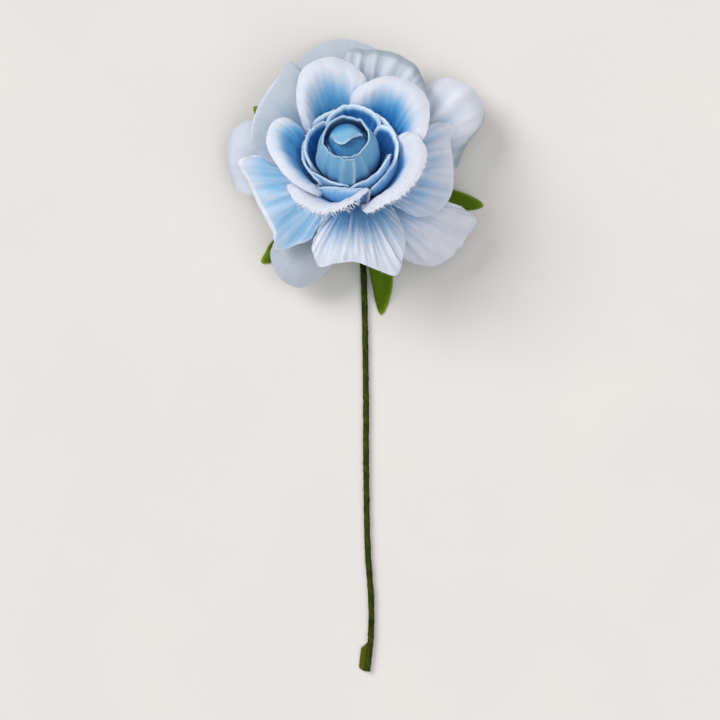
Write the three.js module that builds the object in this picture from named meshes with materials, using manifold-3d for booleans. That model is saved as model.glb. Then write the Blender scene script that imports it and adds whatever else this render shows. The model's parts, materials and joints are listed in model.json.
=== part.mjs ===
// A small fabric rose on a wire stem, lying face up: the head leans over and rests on its sepals.
// Millimetres and degrees. +Z up, the stem along -Y, azimuths counter-clockwise from +X.
import * as THREE from 'three';
import { mergeVertices } from 'three/addons/utils/BufferGeometryUtils.js';
import Module from 'manifold-3d';

// Cloth and fits
const CLOTH_THICKNESS = 0.3;
const CLEARANCE = 0.3;
const GLUE_GAP = 0.15;
const WIRE_DIAMETER = 0.55;
const TAPE_BORE_CLEARANCE = 0.08;
const TAPE_WALL = 0.2;

// The head: where its foot stands over the table, and how it leans
const HEAD_HEIGHT = 6;
const HEAD_LEAN = 25;
const HEAD_LEANS_TOWARDS = 100;
const HUB_PITCH = CLOTH_THICKNESS + CLEARANCE + GLUE_GAP;
const SEPAL_TIP_HEIGHT = 0.17;

// The stem: how far its cut end lies from the head's foot, and how far it sways to the right of the foot at
// distances from that end
const STEM_LENGTH = 83;
const STEM_SWAY = [[2.1, 0], [2.7, 5.4], [2.8, 12], [2.2, 21], [1.9, 38.3], [1.9, 47], [1.4, 70.4]];
const NECK_LENGTH = 2;
const TAPE_STOP = CLOTH_THICKNESS / 2 + CLEARANCE + GLUE_GAP;
const WIRE_REACH_INTO_BUD = 12;

// The tape's folded end, a flat tab beside the cut end of the wire
const TAPE_TAIL = { length: 5.2, width: 1.3, thickness: 0.24, shoulder: 1.4, roundness: 0.7, standoff: 0.14 };

// The bud: one strip rolled round the wire. It stands over the inmost sheet's hub.
const BUD = {
  turns: 2.6, firstTurn: 59, outerRadius: 4.1, standoff: 1.65, top: 18.6,
  footShare: 0.62, bellyShare: 1.16, mouthShare: 1, innerDrop: 1.6,
};

// Five-lobed sheets. A rim point is [azimuth, distance from the head's axis, height over its foot], all of
// them in a frame that leans by rimLean. Notches and hubs are in the head's own frame. A sepal is [azimuth,
// how much shorter than the longest it is, how far its tip swings aside].
const CALYX = {
  place: 0, hubRadius: 3.2, rimLean: 0, rise: -12, bow: 0.4, flare: -22, sideFlare: -22,
  flareReach: 0.3, notchReach: 4.2, notchLift: -0.4, waistReach: 8, waistLift: -1.4,
  shoulderReach: 16.5, shoulderLift: -3.9, halfWidth: 2.1, tipHalfWidth: 1.1,
  tipLength: 1.5, tipLift: SEPAL_TIP_HEIGHT - HEAD_HEIGHT, longestReach: 23,
  sepals: [[67, 1, 0], [140, 0, 0], [217, 2.6, 0], [294, 1.2, -12], [357, 0.6, -3]],
};

const BACK_PETALS = {
  place: 1, hubRadius: 3, rimLean: 0, rise: 18, bow: 0.45, flare: -35, sideFlare: -10, flareReach: 0.35,
  notchReach: 8, notchLift: 3,
  rims: [
    [[8, 15, 3], [15, 21, 1], [30, 25.5, 0], [45, 25.2, 0], [56, 22.5, 0.5], [61, 16, 2]],
    [[70, 18, 1], [80, 24, -1], [97, 26.2, -2.5], [114, 24, -1.8], [127, 18, 0.2]],
    [[136, 17, 1.5], [147, 22.5, -0.5], [165, 23.4, -1.5], [180, 20.2, -0.5], [192, 14.5, 2]],
    [[206, 12.5, 3], [217, 18, 0.5], [236, 20, -1], [249, 15.5, 1], [262, 11, 4]],
    [[296, 11, 5.5], [306, 15.5, 3], [318, 20, 1.5], [333, 21.3, 1.5], [347, 21, 2.5], [354, 16, 4]],
  ],
};

const FRONT_PETALS = {
  place: 2, hubRadius: 2.8, rimLean: 12, rise: 38, bow: 0.5, flare: -18, sideFlare: 10, flareReach: 0.3,
  notchReach: 7, notchLift: 5.2,
  rims: [
    [[40, 14, 8.5], [51, 19.8, 8.9], [62, 23.2, 8], [76, 24.2, 7.6], [91, 22.2, 8.6], [99, 16, 8.2]],
    [[103, 15, 8.6], [112, 20.2, 9.8], [119, 22.3, 9.6], [136, 20.6, 7.8], [152, 19.6, 7.4], [162, 18.2, 7],
      [170, 13.5, 6.5]],
    [[163, 15.5, 5.6], [169, 20.2, 5.2], [181, 18, 4.4], [193, 16.9, 3.9], [206, 16.8, 3.6], [219, 17, 3.4],
      [228, 14.5, 4.6], [234, 12, 5.6]],
    [[236, 11.5, 6.5], [241, 13.6, 6.8], [251, 16.2, 6.2], [262, 15, 6.8], [272, 14.6, 7.1], [284, 16, 6.2],
      [293, 17.4, 5.6], [300, 14.8, 5.6], [306, 11.5, 6]],
    [[328, 12.5, 7], [334, 15, 7], [347, 17.3, 6.8], [2, 17.6, 7.4], [15, 17, 8.3], [33, 16, 9.4],
      [38, 12.5, 8.5]],
  ],
};

const CURLED_PETALS = {
  place: 3, hubRadius: 2.6, rimLean: 25, rise: 42, bow: 0.62, flare: -30, sideFlare: 80, flareReach: 0.28,
  notchReach: 8.4, notchLift: 7.6,
  rims: [
    [[6, 12, 13.6], [14, 13.7, 15], [34, 15.5, 16.5], [59, 14.3, 17], [77, 11.6, 16.3], [88, 10.2, 14.6]],
    [[76, 12.4, 15], [84, 14.2, 16.2], [100, 16.4, 17], [119, 15.8, 17], [135, 12.4, 16], [144, 10, 14]],
    [[150, 12, 14.5], [158, 13.6, 15.2], [177, 13.6, 16], [190, 12.6, 15.6], [204, 11.7, 15], [220, 10.6, 14],
      [234, 9.4, 12.6]],
    [[208, 11.6, 12.3], [216, 12.2, 13], [232, 12.9, 13], [250, 12.7, 13], [268, 11.2, 13.5],
      [280, 9.6, 13.6], [287, 8.8, 12.6]],
    [[283, 10.6, 11.4], [289, 11.9, 13], [302, 12.6, 14.5], [318, 13.4, 15], [334, 13.8, 15.8],
      [348, 13.5, 16], [1, 11.8, 15.8], [10, 10.2, 14.4]],
  ],
};

const CUP_PETALS = {
  place: 4, hubRadius: 2.4, rimLean: 25, rise: 60, bow: 0.45, flare: 82, sideFlare: 82, flareReach: 0.35,
  notchReach: 5.6, notchLift: 8,
  rims: [
    [[14, 8, 12.2], [30, 8.1, 13.2], [47, 8.1, 13.4], [64, 8, 13.2], [80, 7.5, 12]],
    [[86, 8.1, 12.2], [102, 8.1, 13.4], [119, 8.1, 13.6], [136, 7.9, 13.2], [152, 7.3, 12]],
    [[158, 7.9, 12], [174, 7.8, 12.8], [191, 7.7, 12.8], [208, 7.4, 12.4], [224, 6.8, 11.4]],
    [[230, 7.3, 11.2], [246, 7, 11.6], [263, 6.8, 11.6], [280, 6.8, 11.6], [296, 6.4, 10.8]],
    [[302, 7.1, 11.2], [318, 7.2, 12], [335, 7.6, 12.6], [352, 7.9, 12.8], [8, 7.6, 11.8]],
  ],
};

const INNER_PETALS = {
  place: 5, hubRadius: 2.2, rimLean: 25, rise: 64, bow: 0.45, flare: 85, sideFlare: 85, flareReach: 0.35,
  notchReach: 5.2, notchLift: 9,
  rims: [
    [[338, 7.3, 13.6], [352, 7.7, 14.6], [8, 7.8, 14.8], [26, 7.6, 14.6], [42, 6.8, 13.6]],
    [[50, 7.4, 13.6], [64, 7.7, 14.8], [82, 7.8, 15], [102, 7.6, 14.8], [120, 6.8, 13.6]],
    [[128, 7.1, 13.4], [142, 7.3, 14.2], [160, 7.3, 14.6], [178, 7.1, 14.2], [196, 6.3, 13]],
    [[204, 6.7, 12.4], [218, 6.6, 13], [236, 6.3, 12.9], [252, 6.1, 12.6], [268, 5.6, 11.8]],
    [[274, 6.1, 12.2], [288, 6, 13], [304, 5.9, 13.4], [320, 5.9, 13.4], [334, 5.6, 12.6]],
  ],
};

// How finely the shapes are divided
const PETAL_COLUMNS = 8;
const PETAL_ROWS = 7;
const SEPAL_COLUMNS = 8;
const SEPAL_ROWS = 4;
const BUD_COLUMNS = 44;
const BUD_ROWS = 8;
const RUN_STEPS = 18;
const BEND_STEPS = 6;
const STEM_SIDES = 8;
const TAB_CORNER_STEPS = 4;
const NORMAL_STEP = 0.02;
const MERGE_DISTANCE = 1e-3;

const wasm = await Module();
wasm.setup();

const degrees = THREE.MathUtils.degToRad;
const UP = new THREE.Vector3(0, 0, 1);
const FOOT = new THREE.Vector3(0, 0, HEAD_HEIGHT);
const LOBES = 5;
const HOLE_RADIUS = WIRE_DIAMETER / 2 + CLEARANCE;
const TAPE_BORE_RADIUS = WIRE_DIAMETER / 2 + TAPE_BORE_CLEARANCE;
const TAPE_RADIUS = TAPE_BORE_RADIUS + TAPE_WALL;

const MATERIALS = {
  petals: new THREE.MeshStandardMaterial({ color: 0xa9cdf0, roughness: 0.85, metalness: 0 }),
  bud: new THREE.MeshStandardMaterial({ color: 0x7fb2dd, roughness: 0.85, metalness: 0 }),
  calyx: new THREE.MeshStandardMaterial({ color: 0x4a6b12, roughness: 0.8, metalness: 0 }),
  tape: new THREE.MeshStandardMaterial({ color: 0x3f5a18, roughness: 0.7, metalness: 0 }),
  wire: new THREE.MeshStandardMaterial({ color: 0x8a8d8f, roughness: 0.4, metalness: 1 }),
};

// A turn that leans +Z over towards HEAD_LEANS_TOWARDS.
function leaning(angle) {
  const towards = degrees(HEAD_LEANS_TOWARDS);
  const hinge = new THREE.Vector3(-Math.sin(towards), Math.cos(towards), 0);
  return new THREE.Quaternion().setFromAxisAngle(hinge, degrees(angle));
}

const HEAD_TURN = leaning(HEAD_LEAN);
const HEAD_AXIS = UP.clone().applyQuaternion(HEAD_TURN);

// A point given by azimuth in degrees, distance from the axis and height, in a frame that leans by a turn.
function polar(azimuth, reach, lift, turn) {
  const around = degrees(azimuth);
  return new THREE.Vector3(reach * Math.cos(around), reach * Math.sin(around), lift)
    .applyQuaternion(turn)
    .add(FOOT);
}

// A unit direction outwards at an azimuth and up by an elevation, in a frame that leans by a turn.
function outwards(azimuth, elevation, turn) {
  const around = degrees(azimuth);
  const up = degrees(elevation);
  return new THREE.Vector3(Math.cos(around) * Math.cos(up), Math.sin(around) * Math.cos(up), Math.sin(up))
    .applyQuaternion(turn);
}

// An azimuth moved by whole turns until it is the next one after another.
function following(azimuth, before) {
  return azimuth + 360 * Math.ceil((before - azimuth) / 360);
}

// The rims of a sheet's lobes as curves from notch to notch, with the azimuths of their notches.
function rimCurves(sheet) {
  const turn = leaning(sheet.rimLean);
  const middles = sheet.rims.map((rim, i) => {
    const next = sheet.rims[(i + 1) % LOBES];
    const end = rim[rim.length - 1][0];
    const start = following(next[0][0] + 180, end) - 180;
    return (end + start) / 2;
  });
  return sheet.rims.map((rim, i) => {
    const to = middles[i];
    const from = middles[(i + LOBES - 1) % LOBES];
    const points = [
      polar(from, sheet.notchReach, sheet.notchLift, HEAD_TURN),
      ...rim.map(([azimuth, reach, lift]) => polar(azimuth, reach, lift, turn)),
      polar(to, sheet.notchReach, sheet.notchLift, HEAD_TURN),
    ];
    return { curve: new THREE.CatmullRomCurve3(points), from: following(from, to - 360), to };
  });
}

// The middle surface of a sheet: share 0 to 1 goes round one lobe from notch to notch, and out 0 to 1 goes
// from the hub to the rim on a curve that leaves the hub at the angle rise and meets the rim at the angle
// flare.
function lobePoint(sheet, lobe, share, out) {
  const azimuth = THREE.MathUtils.lerp(lobe.from, lobe.to, share);
  const hub = polar(azimuth, sheet.hubRadius, sheet.place * HUB_PITCH, HEAD_TURN);
  const rim = lobe.curve.getPointAt(share);
  const spread = rim.clone().sub(FOOT).applyQuaternion(HEAD_TURN.clone().invert());
  const rimAzimuth = THREE.MathUtils.radToDeg(Math.atan2(spread.y, spread.x));
  const chord = rim.distanceTo(hub);
  const leave = outwards(rimAzimuth, sheet.rise, HEAD_TURN).multiplyScalar(sheet.bow * chord);
  const flare = THREE.MathUtils.lerp(sheet.sideFlare, sheet.flare, Math.sin(Math.PI * share));
  const meet = outwards(rimAzimuth, flare, leaning(sheet.rimLean)).multiplyScalar(sheet.flareReach * chord);
  return new THREE.CubicBezierCurve3(hub, hub.clone().add(leave), rim.clone().sub(meet), rim).getPoint(out);
}

// The unit normal of a surface by small steps to both sides.
function normalOf(surface, a, b) {
  const low = (value) => Math.max(value - NORMAL_STEP, 0);
  const high = (value) => Math.min(value + NORMAL_STEP, 1);
  const along = surface(high(a), b).sub(surface(low(a), b));
  const across = surface(a, high(b)).sub(surface(a, low(b)));
  return along.cross(across).normalize();
}

// A five-lobed sheet with a hole for the wire. It starts as a ring whose profile is a flat bar, and each of
// its corners moves to its place: one row at the hole, one at the hub's edge and the rest out to the rim.
function sheetGeometry(sheet, columnsPerLobe, rowsPerLobe) {
  const lobes = rimCurves(sheet);
  const columns = LOBES * columnsPerLobe;
  const rows = rowsPerLobe + 1;
  const profile = [];
  for (let row = 0; row <= rows; row += 1) profile.push(new THREE.Vector2(1 + row, 0));
  for (let row = rows; row >= 0; row -= 1) profile.push(new THREE.Vector2(1 + row, 1));
  profile.push(profile[0].clone());
  const ring = closedRing(profile, columns);
  matchDiagonals(ring, profile.length - 1, rows + 1);
  const position = ring.getAttribute('position');
  for (let i = 0; i < position.count; i += 1) {
    const x = position.getX(i);
    const z = position.getZ(i);
    const row = Math.round(Math.hypot(x, z)) - 1;
    const side = 0.5 - position.getY(i);
    const column = Math.round((Math.atan2(z, x) / (2 * Math.PI) + 1) * columns) % columns;
    const lobe = lobes[Math.floor(column / columnsPerLobe)];
    const share = (column % columnsPerLobe) / columnsPerLobe;
    const place = sheetPoint(sheet, lobe, share, (row - 1) / rowsPerLobe, side * CLOTH_THICKNESS);
    position.setXYZ(i, place.x, place.y, place.z);
  }
  return ring;
}

// One corner of a sheet, offset from its middle surface to the upper or the lower side. Where out is below 0,
// it lies at the hole.
function sheetPoint(sheet, lobe, share, out, offset) {
  if (out < 0) {
    const azimuth = THREE.MathUtils.lerp(lobe.from, lobe.to, share);
    return polar(azimuth, HOLE_RADIUS, sheet.place * HUB_PITCH + offset, HEAD_TURN);
  }
  const surface = (a, b) => lobePoint(sheet, lobe, a, b);
  const normal = normalOf(surface, share, out).negate();
  if (out === 0) normal.add(HEAD_AXIS).normalize();
  return surface(share, out).addScaledVector(normal, offset);
}

// Turns the diagonals on the lower side of a sheet, so that both sides fold along the same lines and a
// twisted stretch keeps its thickness. A column of the ring has quadsPerColumn quads, two triangles each.
function matchDiagonals(ring, quadsPerColumn, firstLowerQuad) {
  const { index } = ring;
  for (let quad = 0; quad < index.count / 6; quad += 1) {
    if (quad % quadsPerColumn < firstLowerQuad) continue;
    const at = 6 * quad;
    const [a, b, d, c] = [0, 1, 2, 3].map((i) => index.getX(at + i));
    [a, b, c, a, c, d].forEach((corner, i) => index.setX(at + i, corner));
  }
}

// A closed ring about +Y from a profile, its seam and doubled corners merged.
function closedRing(profile, columns) {
  const ring = new THREE.LatheGeometry(profile, columns);
  ring.deleteAttribute('normal');
  ring.deleteAttribute('uv');
  return mergeVertices(ring, MERGE_DISTANCE);
}

// The outline of a narrow sepal as rim points. It runs out along its facing and swings aside towards its tip.
function sepalRim([facing, shorter, swing]) {
  const length = CALYX.longestReach - shorter;
  const side = (turn, reach, halfWidth, lift) => {
    const beside = THREE.MathUtils.radToDeg(Math.asin(halfWidth / reach));
    return [facing + swing * (reach / length) + turn * beside, reach, lift];
  };
  const edge = (turn) => [
    side(turn, CALYX.waistReach, CALYX.halfWidth, CALYX.waistLift),
    side(turn, CALYX.shoulderReach, CALYX.halfWidth, CALYX.shoulderLift),
    side(turn, length - CALYX.tipLength, CALYX.tipHalfWidth, CALYX.tipLift),
  ];
  return [...edge(-1), [facing + swing, length, CALYX.tipLift], ...edge(1).reverse()];
}

// The rolled bud: a flat strip, wound round the head's axis and drawn in at its foot.
function budGeometry() {
  const strip = new THREE.BoxGeometry(1, 1, 1, BUD_COLUMNS, BUD_ROWS, 1);
  strip.deleteAttribute('normal');
  strip.deleteAttribute('uv');
  const merged = mergeVertices(strip, MERGE_DISTANCE);
  const position = merged.getAttribute('position');
  for (let i = 0; i < position.count; i += 1) {
    const along = position.getX(i) + 0.5;
    const up = position.getY(i) + 0.5;
    const normal = normalOf(budPoint, along, up);
    const place = budPoint(along, up).addScaledVector(normal, position.getZ(i) * CLOTH_THICKNESS);
    position.setXYZ(i, place.x, place.y, place.z);
  }
  return merged;
}

// The middle surface of the bud's strip. The inmost turn is straight, and the outer ones follow the belly.
function budPoint(along, up) {
  const shares = new THREE.QuadraticBezierCurve(
    new THREE.Vector2(BUD.footShare, 0),
    new THREE.Vector2(2 * BUD.bellyShare - (BUD.footShare + BUD.mouthShare) / 2, 0.5),
    new THREE.Vector2(BUD.mouthShare, 1),
  );
  const inner = HOLE_RADIUS + CLOTH_THICKNESS / 2;
  const radius = THREE.MathUtils.lerp(inner, BUD.outerRadius * shares.getPoint(up).x, along);
  const bottom = INNER_PETALS.place * HUB_PITCH + BUD.standoff;
  const top = BUD.top - BUD.innerDrop * (1 - along);
  const lift = THREE.MathUtils.lerp(bottom, top, up);
  return polar(BUD.firstTurn + 360 * BUD.turns * along, radius, lift, HEAD_TURN);
}

// The stem's line: along the table, round the bend under the head, and up the head's axis to a height over
// the foot.
function stemLine(top) {
  const onTable = STEM_SWAY.map(([x, fromEnd]) => new THREE.Vector3(x, fromEnd - STEM_LENGTH, TAPE_RADIUS));
  const neck = FOOT.clone().addScaledVector(HEAD_AXIS, -NECK_LENGTH);
  const corner = FOOT.clone().addScaledVector(HEAD_AXIS, (TAPE_RADIUS - FOOT.z) / HEAD_AXIS.z);
  const last = onTable[onTable.length - 1];
  const landing = corner.clone().add(last.clone().sub(corner).setLength(neck.distanceTo(corner)));
  return {
    run: new THREE.CatmullRomCurve3([...onTable, landing]),
    bend: new THREE.QuadraticBezierCurve3(landing, corner, neck),
    neck: new THREE.LineCurve3(neck, FOOT.clone().addScaledVector(HEAD_AXIS, top)),
  };
}

// Stations along the stem, each with its place and its direction.
function stemStations(top) {
  const line = stemLine(top);
  const along = (curve, steps, first) => Array.from({ length: steps + 1 - first }, (_, i) => ({
    place: curve.getPointAt((i + first) / steps),
    direction: curve.getTangentAt((i + first) / steps),
  }));
  return [...along(line.run, RUN_STEPS, 0), ...along(line.bend, BEND_STEPS, 1), ...along(line.neck, 1, 1)];
}

// A straight ring about +Y, one unit a station, bent so that its axis follows the stations.
function bentAlong(straight, stations) {
  const position = straight.getAttribute('position');
  for (let i = 0; i < position.count; i += 1) {
    const { place, direction } = stations[Math.round(position.getY(i))];
    const up = new THREE.Vector3(1, 0, 0).cross(direction).normalize();
    const across = direction.clone().cross(up);
    const corner = place.clone()
      .addScaledVector(across, position.getX(i))
      .addScaledVector(up, position.getZ(i));
    position.setXYZ(i, corner.x, corner.y, corner.z);
  }
  return straight;
}

function wireGeometry() {
  const stations = stemStations(WIRE_REACH_INTO_BUD);
  const side = stations.map((_, i) => new THREE.Vector2(WIRE_DIAMETER / 2, i));
  const profile = [new THREE.Vector2(0, 0), ...side, new THREE.Vector2(0, stations.length - 1)];
  return bentAlong(closedRing(profile, STEM_SIDES), stations);
}

function tapeGeometry() {
  const stations = stemStations(-TAPE_STOP);
  const outside = stations.map((_, i) => new THREE.Vector2(TAPE_RADIUS, i));
  const inside = stations.map((_, i) => new THREE.Vector2(TAPE_BORE_RADIUS, i)).reverse();
  const tube = bentAlong(closedRing([...outside, ...inside, outside[0].clone()], STEM_SIDES), stations);
  return joined(tube, tapeTailGeometry(stations[0]));
}

// The tab lies beside the stem's cut end with one edge inside the tape's wall.
function tapeTailGeometry(end) {
  const { length, width, thickness, shoulder, roundness, standoff } = TAPE_TAIL;
  const outline = new THREE.Shape();
  outline.moveTo(0, 0);
  outline.lineTo(roundness - width, 0);
  outline.quadraticCurveTo(-width, 0, -width, roundness);
  outline.lineTo(-width, length - shoulder);
  outline.lineTo(0, length);
  const settings = { depth: thickness, bevelEnabled: false, curveSegments: TAB_CORNER_STEPS };
  const tab = new THREE.ExtrudeGeometry(outline, settings);
  tab.rotateZ(Math.atan2(-end.direction.x, end.direction.y));
  const wallMiddle = (TAPE_RADIUS + TAPE_BORE_RADIUS) / 2;
  return tab.translate(end.place.x - wallMiddle, end.place.y, TAPE_RADIUS - standoff - thickness / 2);
}

// Two closed geometries joined into one.
function joined(first, second) {
  const [a, b] = [first, second].map((geometry) => {
    geometry.deleteAttribute('normal');
    geometry.deleteAttribute('uv');
    const merged = mergeVertices(geometry, MERGE_DISTANCE);
    return new wasm.Manifold(new wasm.Mesh({
      numProp: 3,
      vertProperties: merged.getAttribute('position').array,
      triVerts: new Uint32Array(merged.index.array),
    }));
  });
  const { vertProperties, triVerts } = a.add(b).getMesh();
  return new THREE.BufferGeometry()
    .setAttribute('position', new THREE.BufferAttribute(vertProperties, 3))
    .setIndex(new THREE.BufferAttribute(triVerts, 1));
}

function named(name, geometry, material) {
  const mesh = new THREE.Mesh(geometry, material);
  mesh.name = name;
  mesh.geometry.computeVertexNormals();
  return mesh;
}

function petals(name, sheet) {
  return named(name, sheetGeometry(sheet, PETAL_COLUMNS, PETAL_ROWS), MATERIALS.petals);
}

function calyx() {
  const rims = CALYX.sepals.map(sepalRim);
  return named('calyx', sheetGeometry({ ...CALYX, rims }, SEPAL_COLUMNS, SEPAL_ROWS), MATERIALS.calyx);
}

const rose = new THREE.Group();
rose.add(
  named('stem_wire', wireGeometry(), MATERIALS.wire),
  named('stem_tape', tapeGeometry(), MATERIALS.tape),
  calyx(),
  petals('outer_petals_back', BACK_PETALS),
  petals('outer_petals_front', FRONT_PETALS),
  petals('curled_petals', CURLED_PETALS),
  petals('cup_petals', CUP_PETALS),
  petals('inner_petals', INNER_PETALS),
  named('bud_roll', budGeometry(), MATERIALS.bud),
);

// The origin goes to the middle of the bottom of the whole rose's box.
const box = new THREE.Box3().setFromObject(rose, true);
rose.position.set(-(box.min.x + box.max.x) / 2, -(box.min.y + box.max.y) / 2, -box.min.z);

export default rose;
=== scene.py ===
"""A small fabric rose on a wire stem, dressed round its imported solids.

Shapes are worked out in millimetres and degrees from the foot of the flower's head, and a mesh is placed in
metres. Azimuths run counter-clockwise from +X, and the stem runs along -Y.
"""

import json
import logging
import math
from dataclasses import dataclass
from enum import Enum

import bpy
import numpy as np
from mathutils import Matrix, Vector


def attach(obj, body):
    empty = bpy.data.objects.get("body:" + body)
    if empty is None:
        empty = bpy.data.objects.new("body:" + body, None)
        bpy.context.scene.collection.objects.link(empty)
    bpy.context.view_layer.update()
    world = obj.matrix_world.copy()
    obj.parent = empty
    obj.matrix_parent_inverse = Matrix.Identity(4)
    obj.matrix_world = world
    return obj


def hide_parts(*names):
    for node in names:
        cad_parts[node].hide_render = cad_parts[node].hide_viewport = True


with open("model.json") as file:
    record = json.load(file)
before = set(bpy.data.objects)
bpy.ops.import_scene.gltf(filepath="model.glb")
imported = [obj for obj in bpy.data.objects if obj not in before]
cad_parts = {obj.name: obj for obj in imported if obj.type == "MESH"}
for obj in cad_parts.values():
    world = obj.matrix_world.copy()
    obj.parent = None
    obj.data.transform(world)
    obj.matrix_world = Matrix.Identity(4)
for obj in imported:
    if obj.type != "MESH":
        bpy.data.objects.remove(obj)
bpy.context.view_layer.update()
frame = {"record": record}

log = logging.getLogger("rose")

MM = 0.001
BODY = "root"
GRID_LABELS = ("grid_column", "grid_row")

# Cloth, wire and fits, as in the solids
CLOTH_THICKNESS = 0.3
CLEARANCE = 0.3
GLUE_GAP = 0.15
WIRE_RADIUS = 0.275
TAPE_BORE_RADIUS = WIRE_RADIUS + 0.08
TAPE_RADIUS = TAPE_BORE_RADIUS + 0.2
HOLE_RADIUS = WIRE_RADIUS + CLEARANCE
HUB_PITCH = CLOTH_THICKNESS + CLEARANCE + GLUE_GAP
LOBES = 5

# The head's stance
HEAD_HEIGHT = 6.0
HEAD_LEAN = 25.0
HEAD_LEANS_TOWARDS = 100.0
FOOT = np.array([0.0, 0.0, HEAD_HEIGHT])

Point = tuple[float, float, float]
Rim = list[Point]
Colour = tuple[float, float, float]
Socket = bpy.types.NodeSocket


def leaning(angle: float) -> np.ndarray:
    """The turn that leans +Z over towards the side to which the head leans.

    Args:
        angle: how far, in degrees.

    Returns:
        A 3 by 3 matrix.
    """
    towards = math.radians(HEAD_LEANS_TOWARDS)
    x, y = -math.sin(towards), math.cos(towards)
    c, s = math.cos(math.radians(angle)), math.sin(math.radians(angle))
    return np.array([
        [c + x * x * (1 - c), x * y * (1 - c), y * s],
        [x * y * (1 - c), c + y * y * (1 - c), -x * s],
        [-y * s, x * s, c],
    ])


HEAD_TURN = leaning(HEAD_LEAN)
HEAD_AXIS = HEAD_TURN @ np.array([0.0, 0.0, 1.0])


def polar(azimuth: np.ndarray, reach: np.ndarray, lift: np.ndarray, turn: np.ndarray) -> np.ndarray:
    """Points given by azimuth, distance from the axis and height over the foot.

    Args:
        azimuth: degrees.
        reach: distance from the axis.
        lift: height over the foot, along the axis.
        turn: how the axis leans.

    Returns:
        The points, one a row.
    """
    around = np.radians(azimuth)
    local = np.stack(np.broadcast_arrays(reach * np.cos(around), reach * np.sin(around), lift), -1)
    return local @ turn.T + FOOT


def outwards(azimuth: np.ndarray, elevation: np.ndarray, turn: np.ndarray) -> np.ndarray:
    """Unit directions outwards at an azimuth and up by an elevation, both in degrees.

    Args:
        azimuth: degrees.
        elevation: degrees over the plane across the axis.
        turn: how the axis leans.

    Returns:
        The directions, one a row.
    """
    around, up = np.radians(azimuth), np.radians(elevation)
    level = np.cos(up)
    parts = np.broadcast_arrays(np.cos(around) * level, np.sin(around) * level, np.sin(up))
    local = np.stack(parts, -1)
    return local @ turn.T


def following(azimuth: float, before: float) -> float:
    """The azimuth moved by whole turns until it is the next one after another."""
    return azimuth + 360 * math.ceil((before - azimuth) / 360)


def turned(azimuth: np.ndarray, other: float) -> np.ndarray:
    """The turn from one azimuth to others, from -180 to 180 degrees."""
    return (azimuth - other + 180) % 360 - 180


def ramp(low: float, high: float, value: np.ndarray) -> np.ndarray:
    """A smooth step from 0 at low to 1 at high."""
    share = np.clip((value - low) / (high - low), 0, 1)
    return share * share * (3 - 2 * share)


def unit(vectors: np.ndarray) -> np.ndarray:
    """The vectors at unit length."""
    return vectors / np.maximum(np.linalg.norm(vectors, axis=-1, keepdims=True), 1e-9)


def ripple(along: np.ndarray, count: float, seed: int) -> np.ndarray:
    """Smooth seeded noise from -1 to 1.

    Args:
        along: where, from 0 to 1.
        count: how many waves' knots fit between 0 and 1.
        seed: which noise.

    Returns:
        The noise, in along's shape.
    """
    knots = np.random.default_rng(seed).uniform(-1, 1, int(count) + 6)
    at = np.clip(along, 0, 1) * count + 1
    first = np.floor(at).astype(int)
    f = at - first
    a, b, c, d = (knots[first + k] for k in (-1, 0, 1, 2))
    return b + 0.5 * f * (c - a + f * (2 * a - 5 * b + 4 * c - d + f * (3 * (b - c) + d - a)))


class Spline:
    """A centripetal Catmull-Rom curve through points, read by its share of arc length."""

    STEPS = 200

    def __init__(self, points: np.ndarray) -> None:
        """Keeps the points, with one more beyond each end, and measures the curve."""
        first = 2 * points[0] - points[1]
        last = 2 * points[-1] - points[-2]
        self.points = np.vstack([first, points, last])
        steps = np.linspace(0, 1, self.STEPS + 1)
        pieces = np.linalg.norm(np.diff(self._at(steps), axis=0), axis=1)
        self.lengths = np.concatenate([[0], np.cumsum(pieces)])
        self.steps = steps

    def _at(self, t: np.ndarray) -> np.ndarray:
        """Points by the curve's own parameter.

        Args:
            t: from 0 to 1.

        Returns:
            The points, one a row.
        """
        spans = len(self.points) - 3
        at = np.clip(t, 0, 1) * spans
        first = np.minimum(at.astype(int), spans - 1)
        w = (at - first)[:, None]
        p0, p1, p2, p3 = (self.points[first + k] for k in range(4))
        d0, d1, d2 = (np.linalg.norm(b - a, axis=1, keepdims=True) ** 0.5
                      for a, b in ((p0, p1), (p1, p2), (p2, p3)))
        t1 = ((p1 - p0) / d0 - (p2 - p0) / (d0 + d1) + (p2 - p1) / d1) * d1
        t2 = ((p2 - p1) / d1 - (p3 - p1) / (d1 + d2) + (p3 - p2) / d2) * d1
        return p1 + w * (t1 + w * (3 * (p2 - p1) - 2 * t1 - t2 + w * (2 * (p1 - p2) + t1 + t2)))

    def at(self, share: np.ndarray) -> np.ndarray:
        """Points at shares of the curve's length."""
        return self._at(np.interp(share * self.lengths[-1], self.lengths, self.steps))


# Mesh work


def place_offset() -> np.ndarray:
    """Where the head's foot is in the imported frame, from the wire's cut end, which is known in both.

    Returns:
        Its place in millimetres.
    """
    mount = frame["record"]["mounts"][0]["pos_m"]
    cut_end = np.array([*Stem.SWAY[0], TAPE_RADIUS])
    return np.array(mount) / MM - cut_end


def deselect() -> None:
    """Leaves object mode with nothing selected."""
    if bpy.context.object and bpy.context.object.mode != "OBJECT":
        bpy.ops.object.mode_set(mode="OBJECT")
    bpy.ops.object.select_all(action="DESELECT")


def choose(piece: bpy.types.Object) -> None:
    """Leaves one piece active and selected."""
    deselect()
    bpy.context.view_layer.objects.active = piece
    piece.select_set(True)


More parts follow.
